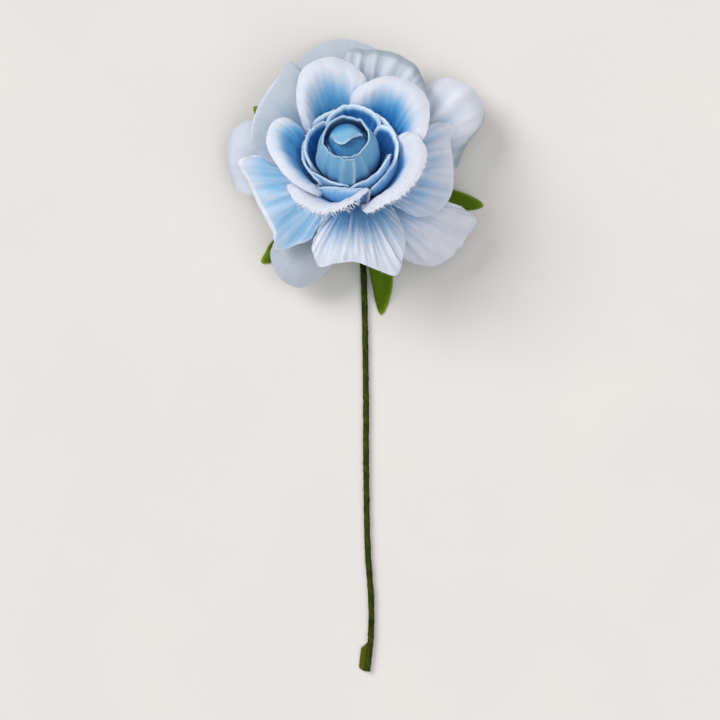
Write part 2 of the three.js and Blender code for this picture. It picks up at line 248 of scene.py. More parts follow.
def grid_piece(name: str, places: np.ndarray) -> bpy.types.Object:
    """A cloth grid: a primitive grid whose corners go to their places, and which keeps each corner's column
    and row.

    Args:
        name: the piece's name.
        places: columns by rows by 3, in millimetres from the head's foot.

    Returns:
        The object, at the origin.
    """
    columns, rows = places.shape[0] - 1, places.shape[1] - 1
    deselect()
    bpy.ops.mesh.primitive_grid_add(x_subdivisions=columns, y_subdivisions=rows, size=1)
    piece = bpy.context.active_object
    piece.name = piece.data.name = name
    at = np.empty(len(piece.data.vertices) * 3)
    piece.data.vertices.foreach_get("co", at)
    at = at.reshape(-1, 3)
    column = np.rint((at[:, 0] + 0.5) * columns).astype(int)
    row = np.rint((at[:, 1] + 0.5) * rows).astype(int)
    moved = (places[column, row] + place_offset()) * MM
    piece.data.vertices.foreach_set("co", moved.ravel())
    for label, index in zip(GRID_LABELS, (column, row)):
        piece.data.attributes.new(label, "INT", "POINT").data.foreach_set("value", index.astype(np.int32))
    return piece


def keep_values(piece: bpy.types.Object, label: str, values: np.ndarray) -> None:
    """Stores one number, or one vector, for each corner of a grid piece.

    Args:
        piece: a grid piece.
        label: the attribute's name.
        values: columns by rows, or columns by rows by 3.
    """
    mesh = piece.data
    index = []
    for axis in GRID_LABELS:
        found = np.empty(len(mesh.vertices), np.int32)
        mesh.attributes[axis].data.foreach_get("value", found)
        index.append(found)
    chosen = values[index[0], index[1]].astype(np.float32)
    is_vector = chosen.ndim == 2
    attribute = mesh.attributes.new(label, "FLOAT_VECTOR" if is_vector else "FLOAT", "POINT")
    attribute.data.foreach_set("vector" if is_vector else "value", chosen.ravel())


def dress_grid(piece: bpy.types.Object, surface: dict[str, np.ndarray]) -> None:
    """Keeps on a grid piece all that its finish reads.

    Args:
        piece: a grid piece.
        surface: its places and the values that its finish reads, by name.
    """
    for label, values in surface.items():
        if label != "places":
            keep_values(piece, label, values)


def merge_seams(piece: bpy.types.Object, flip: bool) -> None:
    """Merges the corners that lie on each other.

    Args:
        piece: a grid piece.
        flip: whether its faces are turned round.
    """
    choose(piece)
    bpy.ops.object.mode_set(mode="EDIT")
    bpy.ops.mesh.select_all(action="SELECT")
    bpy.ops.mesh.remove_doubles(threshold=1e-6)
    if flip:
        bpy.ops.mesh.flip_normals()
    bpy.ops.object.mode_set(mode="OBJECT")
    for label in GRID_LABELS:
        piece.data.attributes.remove(piece.data.attributes[label])


def thicken(piece: bpy.types.Object, thickness: float, reverse: int = 0, cut: int = 0) -> None:
    """Gives a sheet its thickness, half to each side.

    Args:
        piece: the sheet.
        thickness: in millimetres.
        reverse: which material its reverse takes, counted on from its face's.
        cut: which material its cut edge takes, counted on from its face's.
    """
    choose(piece)
    wall = piece.modifiers.new("thickness", "SOLIDIFY")
    wall.thickness = thickness * MM
    wall.offset = 0
    wall.material_offset = reverse
    wall.material_offset_rim = cut
    bpy.ops.object.modifier_apply(modifier=wall.name)


def smooth(piece: bpy.types.Object, angle: float) -> None:
    """Smooth shading, with edges sharper than an angle in degrees left crisp."""
    choose(piece)
    bpy.ops.object.shade_smooth_by_angle(angle=math.radians(angle))


def joined(pieces: list[bpy.types.Object]) -> bpy.types.Object:
    """Joins pieces into one.

    Args:
        pieces: what is joined, the piece that takes in the others first.

    Returns:
        The first piece.
    """
    deselect()
    for piece in pieces:
        piece.select_set(True)
    bpy.context.view_layer.objects.active = pieces[0]
    bpy.ops.object.join()
    return pieces[0]


# Finishes


class Face(Enum):
    """The faces of a sheet of cloth, each a material of its own."""

    UPPER = 0
    REVERSE = 1
    CUT = 2


def seen(red: float, green: float, blue: float) -> tuple[float, float, float, float]:
    """A colour as it looks, turned into the linear colour that a shader takes.

    Args:
        red: from 0 to 255.
        green: from 0 to 255.
        blue: from 0 to 255.

    Returns:
        Red, green, blue and alpha, from 0 to 1.
    """
    linear = []
    for part in (red, green, blue):
        share = part / 255
        linear.append(share / 12.92 if part <= 10 else ((share + 0.055) / 1.055) ** 2.4)
    return (*linear, 1.0)


class Shader:
    """A material's node tree, with short ways to add what the finishes share."""

    def __init__(self, name: str) -> None:
        """Starts with a Principled shader."""
        self.material = bpy.data.materials.new(name)
        self.material.use_nodes = True
        self.tree = self.material.node_tree
        self.principled = self.tree.nodes["Principled BSDF"]

    def node(self, kind: str, inputs: dict[str | int, object] | None = None,
             **settings: object) -> bpy.types.Node:
        """Adds a node.

        Args:
            kind: its type's name after ShaderNode.
            inputs: values or sockets for its inputs, by name or number.
            **settings: its own properties.

        Returns:
            The node.
        """
        made = self.tree.nodes.new("ShaderNode" + kind)
        for key, value in settings.items():
            setattr(made, key, value)
        for key, value in (inputs or {}).items():
            if isinstance(value, Socket):
                self.tree.links.new(value, made.inputs[key])
            else:
                made.inputs[key].default_value = value
        return made

    def math(self, operation: str, *values: float | Socket) -> Socket:
        """The result of a Math node."""
        return self.node("Math", dict(enumerate(values)), operation=operation).outputs[0]

    def attribute(self, label: str, output: str = "Fac") -> Socket:
        """A value that the mesh holds at each corner."""
        return self.node("Attribute", attribute_name=label).outputs[output]

    def noise(self, scale: float, detail: float) -> Socket:
        """Noise over Object coordinates."""
        where = self.node("TexCoord").outputs["Object"]
        return self.node("TexNoise", {"Vector": where, "Scale": scale, "Detail": detail}).outputs["Fac"]

    def streaks(self, detail: float, roughness: float) -> Socket:
        """Noise drawn out along the material's grain."""
        inputs = {"Vector": self.attribute("grain", "Vector"), "Scale": 1.0, "Detail": detail,
                  "Roughness": roughness}
        return self.node("TexNoise", inputs).outputs["Fac"]

    def colours(self, factor: Socket, stops: list[tuple[float, Colour]]) -> Socket:
        """A colour ramp.

        Args:
            factor: what drives it.
            stops: places from 0 to 1 with their colours as they look.

        Returns:
            The colour.
        """
        made = self.node("ValToRGB", {"Fac": factor})
        elements = made.color_ramp.elements
        while len(elements) < len(stops):
            elements.new(0.5)
        for element, (place, colour) in zip(elements, stops):
            element.position = place
            element.color = seen(*colour)
        return made.outputs["Color"]

    def mix(self, factor: float | Socket, first: Socket, second: Socket | tuple[float, ...],
            blend: str = "MIX") -> Socket:
        """A mix of two colours.

        Args:
            factor: how much of the second shows.
            first: a colour.
            second: another.
            blend: how they mix.

        Returns:
            The colour.
        """
        made = self.node("Mix", data_type="RGBA", blend_type=blend)
        for index, value in ((0, factor), (6, first), (7, second)):
            if isinstance(value, Socket):
                self.tree.links.new(value, made.inputs[index])
            else:
                made.inputs[index].default_value = value
        return made.outputs[2]

    def bump(self, height: Socket, depth: float, below: Socket | None = None) -> Socket:
        """A bump.

        Args:
            height: its height.
            depth: in millimetres, for a height of 1.
            below: the bump that it lies on, if any.

        Returns:
            The normal.
        """
        inputs = {"Height": height, "Distance": depth * MM, "Strength": 1.0}
        if below is not None:
            inputs["Normal"] = below
        return self.node("Bump", inputs).outputs["Normal"]

    def weave(self, pitch: float) -> Socket:
        """The height of a plain weave on the cloth's flat cut.

        Args:
            pitch: from thread to thread, in millimetres.

        Returns:
            The height, from -1 to 1.
        """
        flat = self.node("Attribute", attribute_name="flat_cut").outputs["Vector"]
        wander = self.node("TexNoise", {"Vector": flat, "Scale": 0.9, "Detail": 2.0}).outputs["Color"]
        bent = self.node("VectorMath", {0: wander, 1: (0.25, 0.25, 0)}, operation="MULTIPLY").outputs[0]
        at = self.node("VectorMath", {0: flat, 1: bent}, operation="ADD").outputs[0]
        across = self.node("SeparateXYZ", {0: at})
        waves = [self.math("SINE", self.math("MULTIPLY", across.outputs[k], math.pi / pitch)) for k in (0, 1)]
        return self.math("MULTIPLY", *waves)

    def finish(self, colour: Socket, normal: Socket | None, roughness: float,
               **sockets: float | Colour) -> bpy.types.Material:
        """Links the colour and the normal to the shader, and sets its plain sockets.

        Args:
            colour: the base colour.
            normal: the normal, if it has one.
            roughness: the shader's roughness.
            **sockets: other sockets' values, with underscores for the spaces in their names.

        Returns:
            The material.
        """
        self.tree.links.new(colour, self.principled.inputs["Base Color"])
        if normal is not None:
            self.tree.links.new(normal, self.principled.inputs["Normal"])
        self.principled.inputs["Roughness"].default_value = roughness
        for label, value in sockets.items():
            self.principled.inputs[label.replace("_", " ")].default_value = value
        return self.material


@dataclass(frozen=True)
class DyedCloth:
    """Stiffened woven cloth, dyed from its middle outwards and left pale at the rim."""

    name: str
    rim: Colour
    pale: Colour
    middle: Colour
    strong: Colour
    deep: Colour
    weave_pitch: float = 0.27
    weave_depth: float = 0.02
    roughness: float = 0.85
    edge_width: float = 0.4
    edge_share: float = 0.55
    reverse_strength: float = 0.8
    # Painted shade greys the cloth towards this tone
    shadow_tone: Colour = (188, 198, 199)
    sheen: float = 0.1
    glow: float = 0.15
    mottling: float = 0.09
    # How much paler the pleats' ridges are painted, as a painted highlight
    crest_highlight: float = 0.17
    thread_contrast: float = 0.11
    streak_depth: float = 0.16

    def dye_depth(self, shader: Shader, uneven: Socket, strength: float) -> Socket:
        """How deep the dye is, which wanders most where it's half taken up.

        Args:
            shader: the shader.
            uneven: noise round 0.
            strength: how much of the dye shows on this face.

        Returns:
            The depth, from 0 to 1.
        """
        dye = shader.attribute("dye")
        half_taken = shader.math("MULTIPLY", dye, shader.math("SUBTRACT", 1.15, dye))
        wander = shader.math("ADD", shader.math("MULTIPLY", half_taken, 2.0), 0.1)
        depth = shader.math("ADD", dye, shader.math("MULTIPLY", uneven, wander))
        # Painted highlight: the dye is made shallower on the pleats' ridges, so they look lit
        ridge_highlight = shader.math("MULTIPLY", shader.attribute("crest"), self.crest_highlight)
        return shader.math("SUBTRACT", shader.math("MULTIPLY", depth, strength), ridge_highlight)

    def dyed(self, shader: Shader, depth: Socket) -> Socket:
        """The dye's colour, with the pale rim, greyed towards the shadow tone where shade is painted.

        Args:
            shader: the shader.
            depth: how deep the dye is.

        Returns:
            The colour.
        """
        colour = shader.colours(depth, [
            (0.0, self.rim), (0.22, self.pale), (0.48, self.middle), (0.74, self.strong), (1.0, self.deep),
        ])
        span = {0: shader.attribute("edge"), 1: 0.0, 2: self.edge_width, 3: 1.0, 4: 0.0}
        at_edge = shader.math("MULTIPLY", shader.node("MapRange", span).outputs[0], self.edge_share)
        colour = shader.mix(at_edge, colour, seen(*self.rim))
        # Painted shade: the colour is mixed towards the shadow tone as far as the mesh's shade goes
        greyer = shader.mix(1.0, colour, seen(*self.shadow_tone), "MULTIPLY")
        return shader.mix(shader.attribute("shade"), colour, greyer)

    def upper(self, strength: float, label: str) -> bpy.types.Material:
        """One face of the cloth.

        Args:
            strength: how much of the dye shows on this face.
            label: the face's name.

        Returns:
            The material.
        """
        shader = Shader(f"{self.name}_{label}")
        mottle = shader.noise(420.0, 4.0)
        streaks = shader.streaks(4.0, 0.6)
        half_streaks = shader.math("MULTIPLY", streaks, 0.5)
        uneven = shader.math("ADD", shader.math("MULTIPLY", mottle, 0.25), half_streaks)
        uneven = shader.math("SUBTRACT", uneven, 0.375)
        colour = self.dyed(shader, self.dye_depth(shader, uneven, strength))
        weave = shader.weave(self.weave_pitch)
        raw = shader.attribute("raw")
        raised = shader.math("SUBTRACT", weave, 0.6)
        threads = shader.math("MULTIPLY", raised, shader.math("MULTIPLY", raw, self.thread_contrast))
        threads = shader.math("ADD", threads, shader.math("MULTIPLY", uneven, 2 * self.mottling))
        threads = shader.math("ADD", threads, 1.0)
        tone = shader.node("CombineColor", {0: threads, 1: threads, 2: threads}).outputs[0]
        colour = shader.mix(1.0, colour, tone, "MULTIPLY")
        normal = shader.bump(streaks, self.streak_depth)
        normal = shader.bump(shader.math("MULTIPLY", weave, raw), 2 * self.weave_depth, normal)
        return shader.finish(colour, normal, self.roughness, Sheen_Weight=self.sheen, Sheen_Roughness=0.5,
                             Specular_IOR_Level=0.15, Subsurface_Weight=self.glow, Subsurface_Scale=0.0008,
                             Subsurface_Radius=(0.7, 0.9, 1.0))

    def cut(self) -> bpy.types.Material:
        """The cut edge, where the threads' ends show pale.

        Returns:
            The material.
        """
        shader = Shader(f"{self.name}_cut_edge")
        specks = shader.noise(4200.0, 2.0)
        colour = shader.colours(specks, [(0.3, self.pale), (0.7, self.rim)])
        return shader.finish(colour, shader.bump(specks, 0.05), 0.9, Sheen_Weight=0.1)

    def dress(self, piece: bpy.types.Object) -> None:
        """Gives the piece its three materials."""
        for material in (self.upper(1.0, "face"), self.upper(self.reverse_strength, "reverse"), self.cut()):
            piece.data.materials.append(material)


PETAL_CLOTH = DyedCloth(
    "petal_cloth", rim=(231, 235, 250), pale=(205, 222, 246), middle=(150, 200, 240), strong=(94, 174, 230),
    deep=(30, 122, 196),
)
INNER_CLOTH = DyedCloth(
    "inner_petal_cloth", rim=(222, 240, 255), pale=(162, 206, 244), middle=(118, 182, 232),
    strong=(72, 152, 218), deep=(24, 112, 190), edge_width=0.95, edge_share=1.0, reverse_strength=0.5,
)
BUD_CLOTH = DyedCloth(
    "bud_cloth", rim=(198, 222, 244), pale=(150, 200, 236), middle=(120, 182, 226), strong=(84, 156, 212),
    deep=(38, 112, 180), edge_width=0.6, edge_share=0.9, reverse_strength=1.0,
)
SEPAL_CLOTH = DyedCloth(
    "sepal_cloth", rim=(140, 160, 50), pale=(116, 144, 30), middle=(94, 124, 12), strong=(82, 112, 4),
    deep=(66, 94, 0), weave_depth=0.03, roughness=0.75, sheen=0.0, glow=0.0,
)


@dataclass(frozen=True)
class LooseThread:
    """Pale thread that frays out of a cut edge."""

    name: str = "loose_thread"
    colour: Colour = (232, 234, 245)
    darkening: float = 0.88

    def material(self) -> bpy.types.Material:
        """The thread's finish.

        Returns:
            The material.
        """
        shader = Shader(self.name)
        tone = shader.noise(900.0, 2.0)
        darker = tuple(part * self.darkening for part in self.colour)
        colour = shader.colours(tone, [(0.3, darker), (0.7, self.colour)])
        return shader.finish(colour, None, 0.8, Sheen_Weight=0.2, Subsurface_Weight=0.1,
                             Subsurface_Scale=0.0003)


@dataclass(frozen=True)
class WoundTape:
    """Crinkled paper tape with a faint wax shine."""

    name: str
    shade: Colour
    light: Colour

    def material(self) -> bpy.types.Material:
        """The tape's finish.

        Returns:
            The material.
        """
        shader = Shader(self.name)
        grain = shader.streaks(5.0, 0.65)
        patches = shader.noise(260.0, 2.0)
        tone = shader.math("ADD", shader.math("MULTIPLY", grain, 0.6), shader.math("MULTIPLY", patches, 0.4))
        tone = shader.math("ADD", tone, shader.math("MULTIPLY", shader.attribute("crest"), 0.35))
        colour = shader.colours(tone, [(0.35, self.shade), (0.85, self.light)])
        return shader.finish(colour, shader.bump(grain, 0.08), 0.7, Specular_IOR_Level=0.12)


@dataclass(frozen=True)
class CutSteel:
    """Drawn steel wire with a sheared end."""

    name: str = "steel_wire"
    dark: Colour = (120, 122, 124)
    bright: Colour = (176, 178, 180)

    def material(self) -> bpy.types.Material:
        """The wire's finish.

        Returns:
            The material.
        """
        shader = Shader(self.name)
        drawn = shader.noise(3000.0, 3.0)
        colour = shader.colours(drawn, [(0.3, self.dark), (0.7, self.bright)])
        return shader.finish(colour, shader.bump(drawn, 0.01), 0.38, Metallic=1.0)


# The flower's sheets


@dataclass(frozen=True)
class Roll:
    """A stretch of rim that curls over, between two azimuths.

    A positive angle curls it up and inwards, and a negative one down and back. Shade is painted shade that
    greys the curled stretch, or painted light that pales it where it's below 0.
    """

    start: float
    end: float
    angle: float
    radius: float
    shade: float = 0.0
    softness: float = 9.0

    def window(self, around: np.ndarray) -> np.ndarray:
        """How much of the roll there is.

        Args:
            around: azimuths.

        Returns:
            From 0 to 1 for each.
        """
        if self.end - self.start >= 360:
            return np.ones_like(around)
        past = (around - self.start) % 360
        span = (self.end - self.start) % 360
        return ramp(0, self.softness, past) * ramp(0, self.softness, span - past)


@dataclass(frozen=True)
class Corner:
    """A point drawn out of the rim at an azimuth."""

    azimuth: float
    push: float
    width: float = 5.0


@dataclass(frozen=True)
class ShadePatch:
    """A soft patch of painted shade on a lobe, round an azimuth."""

    azimuth: float
    width: float
    depth: float


@dataclass(frozen=True)
class Fray:
    """A stretch of rim whose threads have come loose in tufts, between two azimuths."""

    start: float
    end: float
    length: float
    spacing: float = 0.42
    threads: int = 4
    slant: float = 0.6
    tooth: float = 0.0

    def window(self, around: np.ndarray) -> np.ndarray:
        """How frayed the rim is.

        Args:
            around: azimuths.

        Returns:
            From 0 to 1 for each.
        """
        past = (around - self.start) % 360
        span = (self.end - self.start) % 360
        return ramp(0, 4, past) * ramp(0, 4, span - past)


@dataclass(frozen=True)
class Lobe:
    """One lobe of a sheet: its rim, how its cloth is dyed, creased and frayed, and where shade is painted on
    it.

    Rim points are azimuth, distance from the axis and height. Pale is how far from the rim the dye has half
    gone, and blend how far it takes to go. Radial says how much the dye's limit is round the hub in place of
    following the rim. Shade is painted shade that greys the whole lobe, and the painted pleat shade greys
    the cloth between the pleats' ridges and paints the ridges paler. Sizes are millimetres.
    """

    rim: tuple[Point, ...] | Point
    dye: float = 0.5
    pale: float = 7.0
    blend: float = 5.0
    radial: float = 0.0
    shade: float = 0.0
    crease: float = 0.12
    creases: int = 9
    groove: float = 0.0
    wave: float = 0.1
    puff: float = 0.0
    flutter: float = 0.25
    ragged: float = 0.05
    raw: float = 0.25
    rolls: tuple[Roll, ...] = ()
    corners: tuple[Corner, ...] = ()
    dusks: tuple[ShadePatch, ...] = ()
    frays: tuple[Fray, ...] = ()
    stray: int = 8


def pleats(share: np.ndarray, out: np.ndarray, count: int, seed: int) -> np.ndarray:
    """Sharp ridges that heat-stamping leaves in cloth, fanning out from the hub.

    Args:
        share: places round the lobe.
        out: places from the hub to the rim.
        count: how many ridges.
        seed: which set.

    Returns:
        The ridges' height, from 0 to about 1.
    """
    rng = np.random.default_rng(seed)
    total = np.zeros(np.broadcast_shapes(share.shape, out.shape))
    for k in range(count):
        centre = (k + 0.5 + rng.uniform(-0.35, 0.35)) / count
        width = rng.uniform(0.14, 0.32) / count
        height = rng.uniform(0.4, 1)
        start, stop = rng.uniform(0.12, 0.45), rng.uniform(0.88, 1.1)
        away = (share - centre - rng.uniform(-0.04, 0.04) * (1 - out)) / width
        reach = ramp(start - 0.08, start + 0.25, out) * (1 - 0.75 * ramp(stop - 0.12, stop, out))
        total += height * np.exp(-away ** 2) * reach
    return total


@dataclass
class PetalSheet:
    """A die-cut sheet of five lobes that is threaded on the wire and formed by heat."""

    name: str
    node: str
    slot: str
    cloth: DyedCloth
    rests_on: str
    place: int
    hub_radius: float
    rim_lean: float
    rise: float
    bow: float
    flare: float
    side_flare: float
    flare_reach: float
    notch_reach: float
    notch_lift: float
    lobes: list[Lobe]
    flat: tuple[float, float]
    flat_area: float
    seed: int
    columns: int = 110
    rows: int = 48
    hub_rows: int = 2
    thickness: float = 0.26
    rim_crowding: float = 1.5
    grain: tuple[float, float] = (230.0 / 6.28, 0.3)

    def rim_of(self, lobe: Lobe) -> Rim:
        """The lobe's rim points."""
        return list(lobe.rim)

    def notches(self) -> list[float]:
        """Where the notches between the lobes are.

        Returns:
            Their azimuths, each after its lobe.
        """
        rims = [self.rim_of(lobe) for lobe in self.lobes]
        found = []
        for i, rim in enumerate(rims):
            end = rim[-1][0]
            start = following(rims[(i + 1) % LOBES][0][0] + 180, end) - 180
            found.append((end + start) / 2)
        return found

    def lobe_surface(self, index: int, shares: np.ndarray, outs: np.ndarray) -> tuple[np.ndarray, ...]:
        """The middle surface of one lobe, before its creases.

        Args:
            index: which lobe.
            shares: places round the lobe, 0 to 1 from notch to notch.
            outs: places from the hub to the rim, 0 to 1.

        Returns:
            Points, shares by outs by 3, and for each share its azimuth at the hub and at the rim.
        """
        notches = self.notches()
        to = notches[index]
        start = following(notches[index - 1], to - 360)
        turn = leaning(self.rim_lean)
        rim_points = self.rim_of(self.lobes[index])
        ends = [polar(a, self.notch_reach, self.notch_lift, HEAD_TURN) for a in (start, to)]
        curve = Spline(np.vstack([ends[0], *[polar(*p, turn) for p in rim_points], ends[1]]))
        azimuth = start + (to - start) * shares
        hub = polar(azimuth, self.hub_radius, self.place * HUB_PITCH, HEAD_TURN)
        rim = curve.at(shares)
        spread = (rim - FOOT) @ HEAD_TURN
        rim_azimuth = np.degrees(np.arctan2(spread[:, 1], spread[:, 0]))
        chord = np.linalg.norm(rim - hub, axis=1)[:, None]
        leave = outwards(rim_azimuth, self.rise, HEAD_TURN) * self.bow * chord
        flare = self.side_flare + (self.flare - self.side_flare) * np.sin(np.pi * shares)
        meet = outwards(rim_azimuth, flare, turn) * self.flare_reach * chord
        t = outs[None, :, None]
        a, b, c, d = (p[:, None, :] for p in (hub, hub + leave, rim - meet, rim))
        points = a * (1 - t) ** 3 + 3 * b * t * (1 - t) ** 2 + 3 * c * t * t * (1 - t) + d * t ** 3
        return points, azimuth, rim_azimuth

    def rim_shift(self, index: int, shares: np.ndarray, outs: np.ndarray, around: np.ndarray,
                  from_rim: np.ndarray) -> np.ndarray:
        """How far the rough cut, the drawn corners and the torn tufts move the cloth outwards.

        Args:
            index: which lobe.
            shares: places round the lobe, one a row.
            outs: places from the hub to the rim, in one row.
            around: the azimuth of each share at the rim.
            from_rim: distances from the rim along the cloth.

        Returns:
            The shift towards the rim.
        """
        lobe = self.lobes[index]
        seed = self.seed + 17 * index
        cut = ripple(shares, 44, seed + 4) + 0.7 * ripple(shares, 17, seed + 6)
        shift = lobe.ragged * cut * (1 - ramp(0, 0.8, from_rim))
        for corner in lobe.corners:
            away = np.abs(turned(around, corner.azimuth))[:, None]
            shift = shift + corner.push * np.exp(-away / corner.width) * ramp(0.55, 1, outs)
        rim_run = shares * 2.2 * from_rim[:, :1].max()
        for fray in lobe.frays:
            tooth = (rim_run / fray.spacing + 0.4 * ripple(shares, 20, seed + 7)) % 1
            shift = shift - fray.tooth * tooth * fray.window(around)[:, None] * (1 - ramp(0, 0.9, from_rim))
        return shift

    def relief(self, index: int, shares: np.ndarray, outs: np.ndarray, around: np.ndarray,
               from_rim: np.ndarray) -> tuple[np.ndarray, ...]:
        """How the lobe's cloth stands off its smooth middle surface.

        Args:
            index: which lobe.
            shares: places round the lobe.
            outs: places from the hub to the rim.
            around: the azimuth of each share at the rim.
            from_rim: distances from the rim along the cloth.

        Returns:
            The lift over the surface, the shift along it towards the rim, the ridges and the painted shade,
            which is painted light where it's below 0.
        """
        lobe = self.lobes[index]
        seed = self.seed + 17 * index
        s, t = shares[:, None], outs[None, :]
        inside = ramp(0, 0.1, s) * ramp(0, 0.1, 1 - s)
        ridges = pleats(s, t, lobe.creases, seed) + 0.5 * pleats(s, t, 2 * lobe.creases, seed + 1)
        envelope = ramp(0.1, 0.45, t)
        lift = lobe.crease * (ridges - 0.3 * envelope)
        lift = lift + lobe.wave * ripple(s, lobe.creases / 2, seed + 2) * envelope
        lift = lift + lobe.puff * np.sin(np.pi * s) * np.sin(np.pi * t ** 1.3)
        lift = lift + lobe.flutter * ripple(s, 5, seed + 3) * t ** 4
        lift = lift * inside
        shift = self.rim_shift(index, s, t, around, from_rim) * inside
        # Painted pleat shade: greyer between the pleats' ridges, painted paler on them
        shade = lobe.groove * envelope * inside * (0.5 - np.clip(ridges, 0, 1))
        for roll in lobe.rolls:
            angle = np.radians(abs(roll.angle)) * roll.window(around)[:, None]
            bent = np.clip(angle - from_rim / roll.radius, 0, None)
            lift = lift + math.copysign(roll.radius, roll.angle) * (1 - np.cos(bent))
            shift = shift + roll.radius * (np.sin(bent) - bent)
            # Painted shade on the curl, or painted light where the roll's shade is below 0
            shade = shade + roll.shade * np.minimum(2.2 * bent, 1)
        # Painted shade in soft patches round given azimuths
        for dusk in lobe.dusks:
            away = turned(around, dusk.azimuth)[:, None] / dusk.width
            shade = shade + dusk.depth * np.exp(-away ** 2) * inside * ramp(0.2, 0.8, t)
        return lift, shift, np.clip(ridges, 0, 1.2) * inside, shade

    def surface(self) -> dict[str, np.ndarray]:
        """The whole sheet on one grid that runs round it from hub to rim.

        Returns:
            Its places and what its finish reads, by name.
        """
        shares = np.linspace(0, 1, self.columns + 1)
        outs = 1 - (1 - np.linspace(0, 1, self.rows + 1)) ** self.rim_crowding
        parts: dict[str, list[np.ndarray]] = {}
        for index, lobe in enumerate(self.lobes):
            points, azimuth, around = self.lobe_surface(index, shares, outs)
            run = np.linalg.norm(np.diff(points, axis=1), axis=2).cumsum(1)
            run = np.concatenate([np.zeros((len(run), 1)), run], 1)
            lift, shift, crest, shade = self.relief(index, shares, outs, around, run[:, -1:] - run)
            inside = ramp(0, 0.16, shares) * ramp(0, 0.16, 1 - shares)
            made = {"places": points, "azimuth": azimuth, "lift": lift, "shift": shift, "crest": crest,
                    "painted_relief_shade": shade, "inside": inside}
            # Each lobe's painted shade is blended at the notches, like its dye
            for key in ("dye", "pale", "blend", "radial", "shade", "raw"):
                usual = float(np.mean([getattr(other, key) for other in self.lobes]))
                made[key] = usual + (getattr(lobe, key) - usual) * inside
            for key, value in made.items():
                parts.setdefault(key, []).append(value[:self.columns + (index == LOBES - 1)])
        made = {key: np.concatenate(value) for key, value in parts.items()}
        places = made["places"]
        around = np.concatenate([places[-2:-1], places, places[1:2]])
        along = around[2:] - around[:-2]
        across = np.gradient(places, axis=1)
        normal = unit(np.cross(across, along))
        places = places + normal * made["lift"][..., None] + unit(across) * made["shift"][..., None]
        return self.with_hub(places, made)

    def undyed(self, out: np.ndarray, made: dict[str, np.ndarray]) -> np.ndarray:
        """How far the cloth is from the dye's outer limit, which follows the rim or runs round the hub.

        Args:
            out: distances from the wire along the cloth.
            made: what each column was given, by name.

        Returns:
            The distances, in out's shape.
        """
        reaches = np.array([out[i * self.columns:(i + 1) * self.columns, -1].max() for i in range(LOBES)])
        lobe_of = np.minimum(np.arange(len(out)) // self.columns, LOBES - 1)
        usual = float(np.mean(reaches))
        far = (usual + (reaches[lobe_of] - usual) * made["inside"])[:, None]
        radial = made["radial"][:, None]
        return (1 - radial) * (out[:, -1:] - out) + radial * (far - out)

    def with_hub(self, places: np.ndarray, made: dict[str, np.ndarray]) -> dict[str, np.ndarray]:
        """Adds the flat disc round the wire, and works out what the cloth's finish reads.

        Args:
            places: the lobes' corners, columns by rows by 3.
            made: what each column or corner was given, by name.

        Returns:
            The sheet's places and what its finish reads, by name.
        """
        radii = np.linspace(HOLE_RADIUS, self.hub_radius, self.hub_rows + 1)[:-1]
        lift = self.place * HUB_PITCH
        disc = np.stack([polar(made["azimuth"], radius, lift, HEAD_TURN) for radius in radii], 1)
        places = np.concatenate([disc, places], 1)
        steps = np.linalg.norm(np.diff(places, axis=1), axis=2)
        out = np.concatenate([np.full((len(places), 1), HOLE_RADIUS), steps], 1).cumsum(1)
        angle = np.radians(made["azimuth"])[:, None]
        from_rim = out[:, -1:] - out
        pale, blend = made["pale"][:, None], made["blend"][:, None]
        dye = made["dye"][:, None] * ramp(pale - blend, pale + blend, self.undyed(out, made))
        blank = np.zeros((len(places), self.hub_rows))
        shade = np.concatenate([blank, made["painted_relief_shade"]], 1)
        wide, long = self.grain
        level = 0 * out
        # Painted light and shade: shade below 0 pales the dye, and shade above 0 greys the cloth
        return {
            "places": places,
            "flat_cut": np.stack([out * np.cos(angle), out * np.sin(angle), level], -1),
            "dye": dye * (1 - np.clip(-shade, 0, 1)),
            "crest": np.concatenate([blank, made["crest"]], 1),
            "edge": from_rim,
            "shade": np.clip(made["shade"][:, None] + shade, 0, 1),
            "raw": made["raw"][:, None] * (1 - ramp(1.5, 4, from_rim)) + 0.05,
            "grain": np.stack([np.cos(angle) * wide + level, np.sin(angle) * wide + level, out * long], -1),
        }

    def build(self) -> bpy.types.Object:
        """Returns:
            The finished piece.
        """
        surface = self.surface()
        piece = grid_piece(self.name, surface["places"])
        dress_grid(piece, surface)
        merge_seams(piece, flip=True)
        self.cloth.dress(piece)
        thicken(piece, self.thickness, Face.REVERSE.value, Face.CUT.value)
        smooth(piece, 55)
        threads = self.threads(surface)
        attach(piece, BODY)
        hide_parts(self.node)
        flat = surface["flat_cut"].reshape(-1, 3)
        width, length, _ = flat.max(0) - flat.min(0)
        farthest = np.linalg.norm(flat, axis=1).max()
        log.info("%s: flat cut %.1f by %.1f mm, its farthest rim %.1f mm from the wire",
                 self.name, width, length, farthest)
        return piece

    def threads(self, surface: dict[str, np.ndarray]) -> bpy.types.Object | None:
        """The threads that fray out of the rims.

        Args:
            surface: the sheet's places, and what its finish reads.

        Returns:
            One piece, or nothing where no thread is loose.
        """
        rng = np.random.default_rng(self.seed + 900)
        fringe = Fringe(f"{self.name}_threads")
        shares = np.linspace(0, 1, self.columns + 1)
        for index, lobe in enumerate(self.lobes):
            for share in rng.uniform(0.06, 0.94, lobe.stray):
                column = int((index + share) * self.columns)
                self.add_thread(fringe, surface, column, rng.uniform(0.15, 0.45), 0.2, rng)
            around = self.lobe_surface(index, shares, np.array([0.0, 1.0]))[2]
            for fray in lobe.frays:
                self.add_tufts(fringe, surface, index * self.columns, around, fray, rng)
        return fringe.build(self.slot) if fringe.paths else None

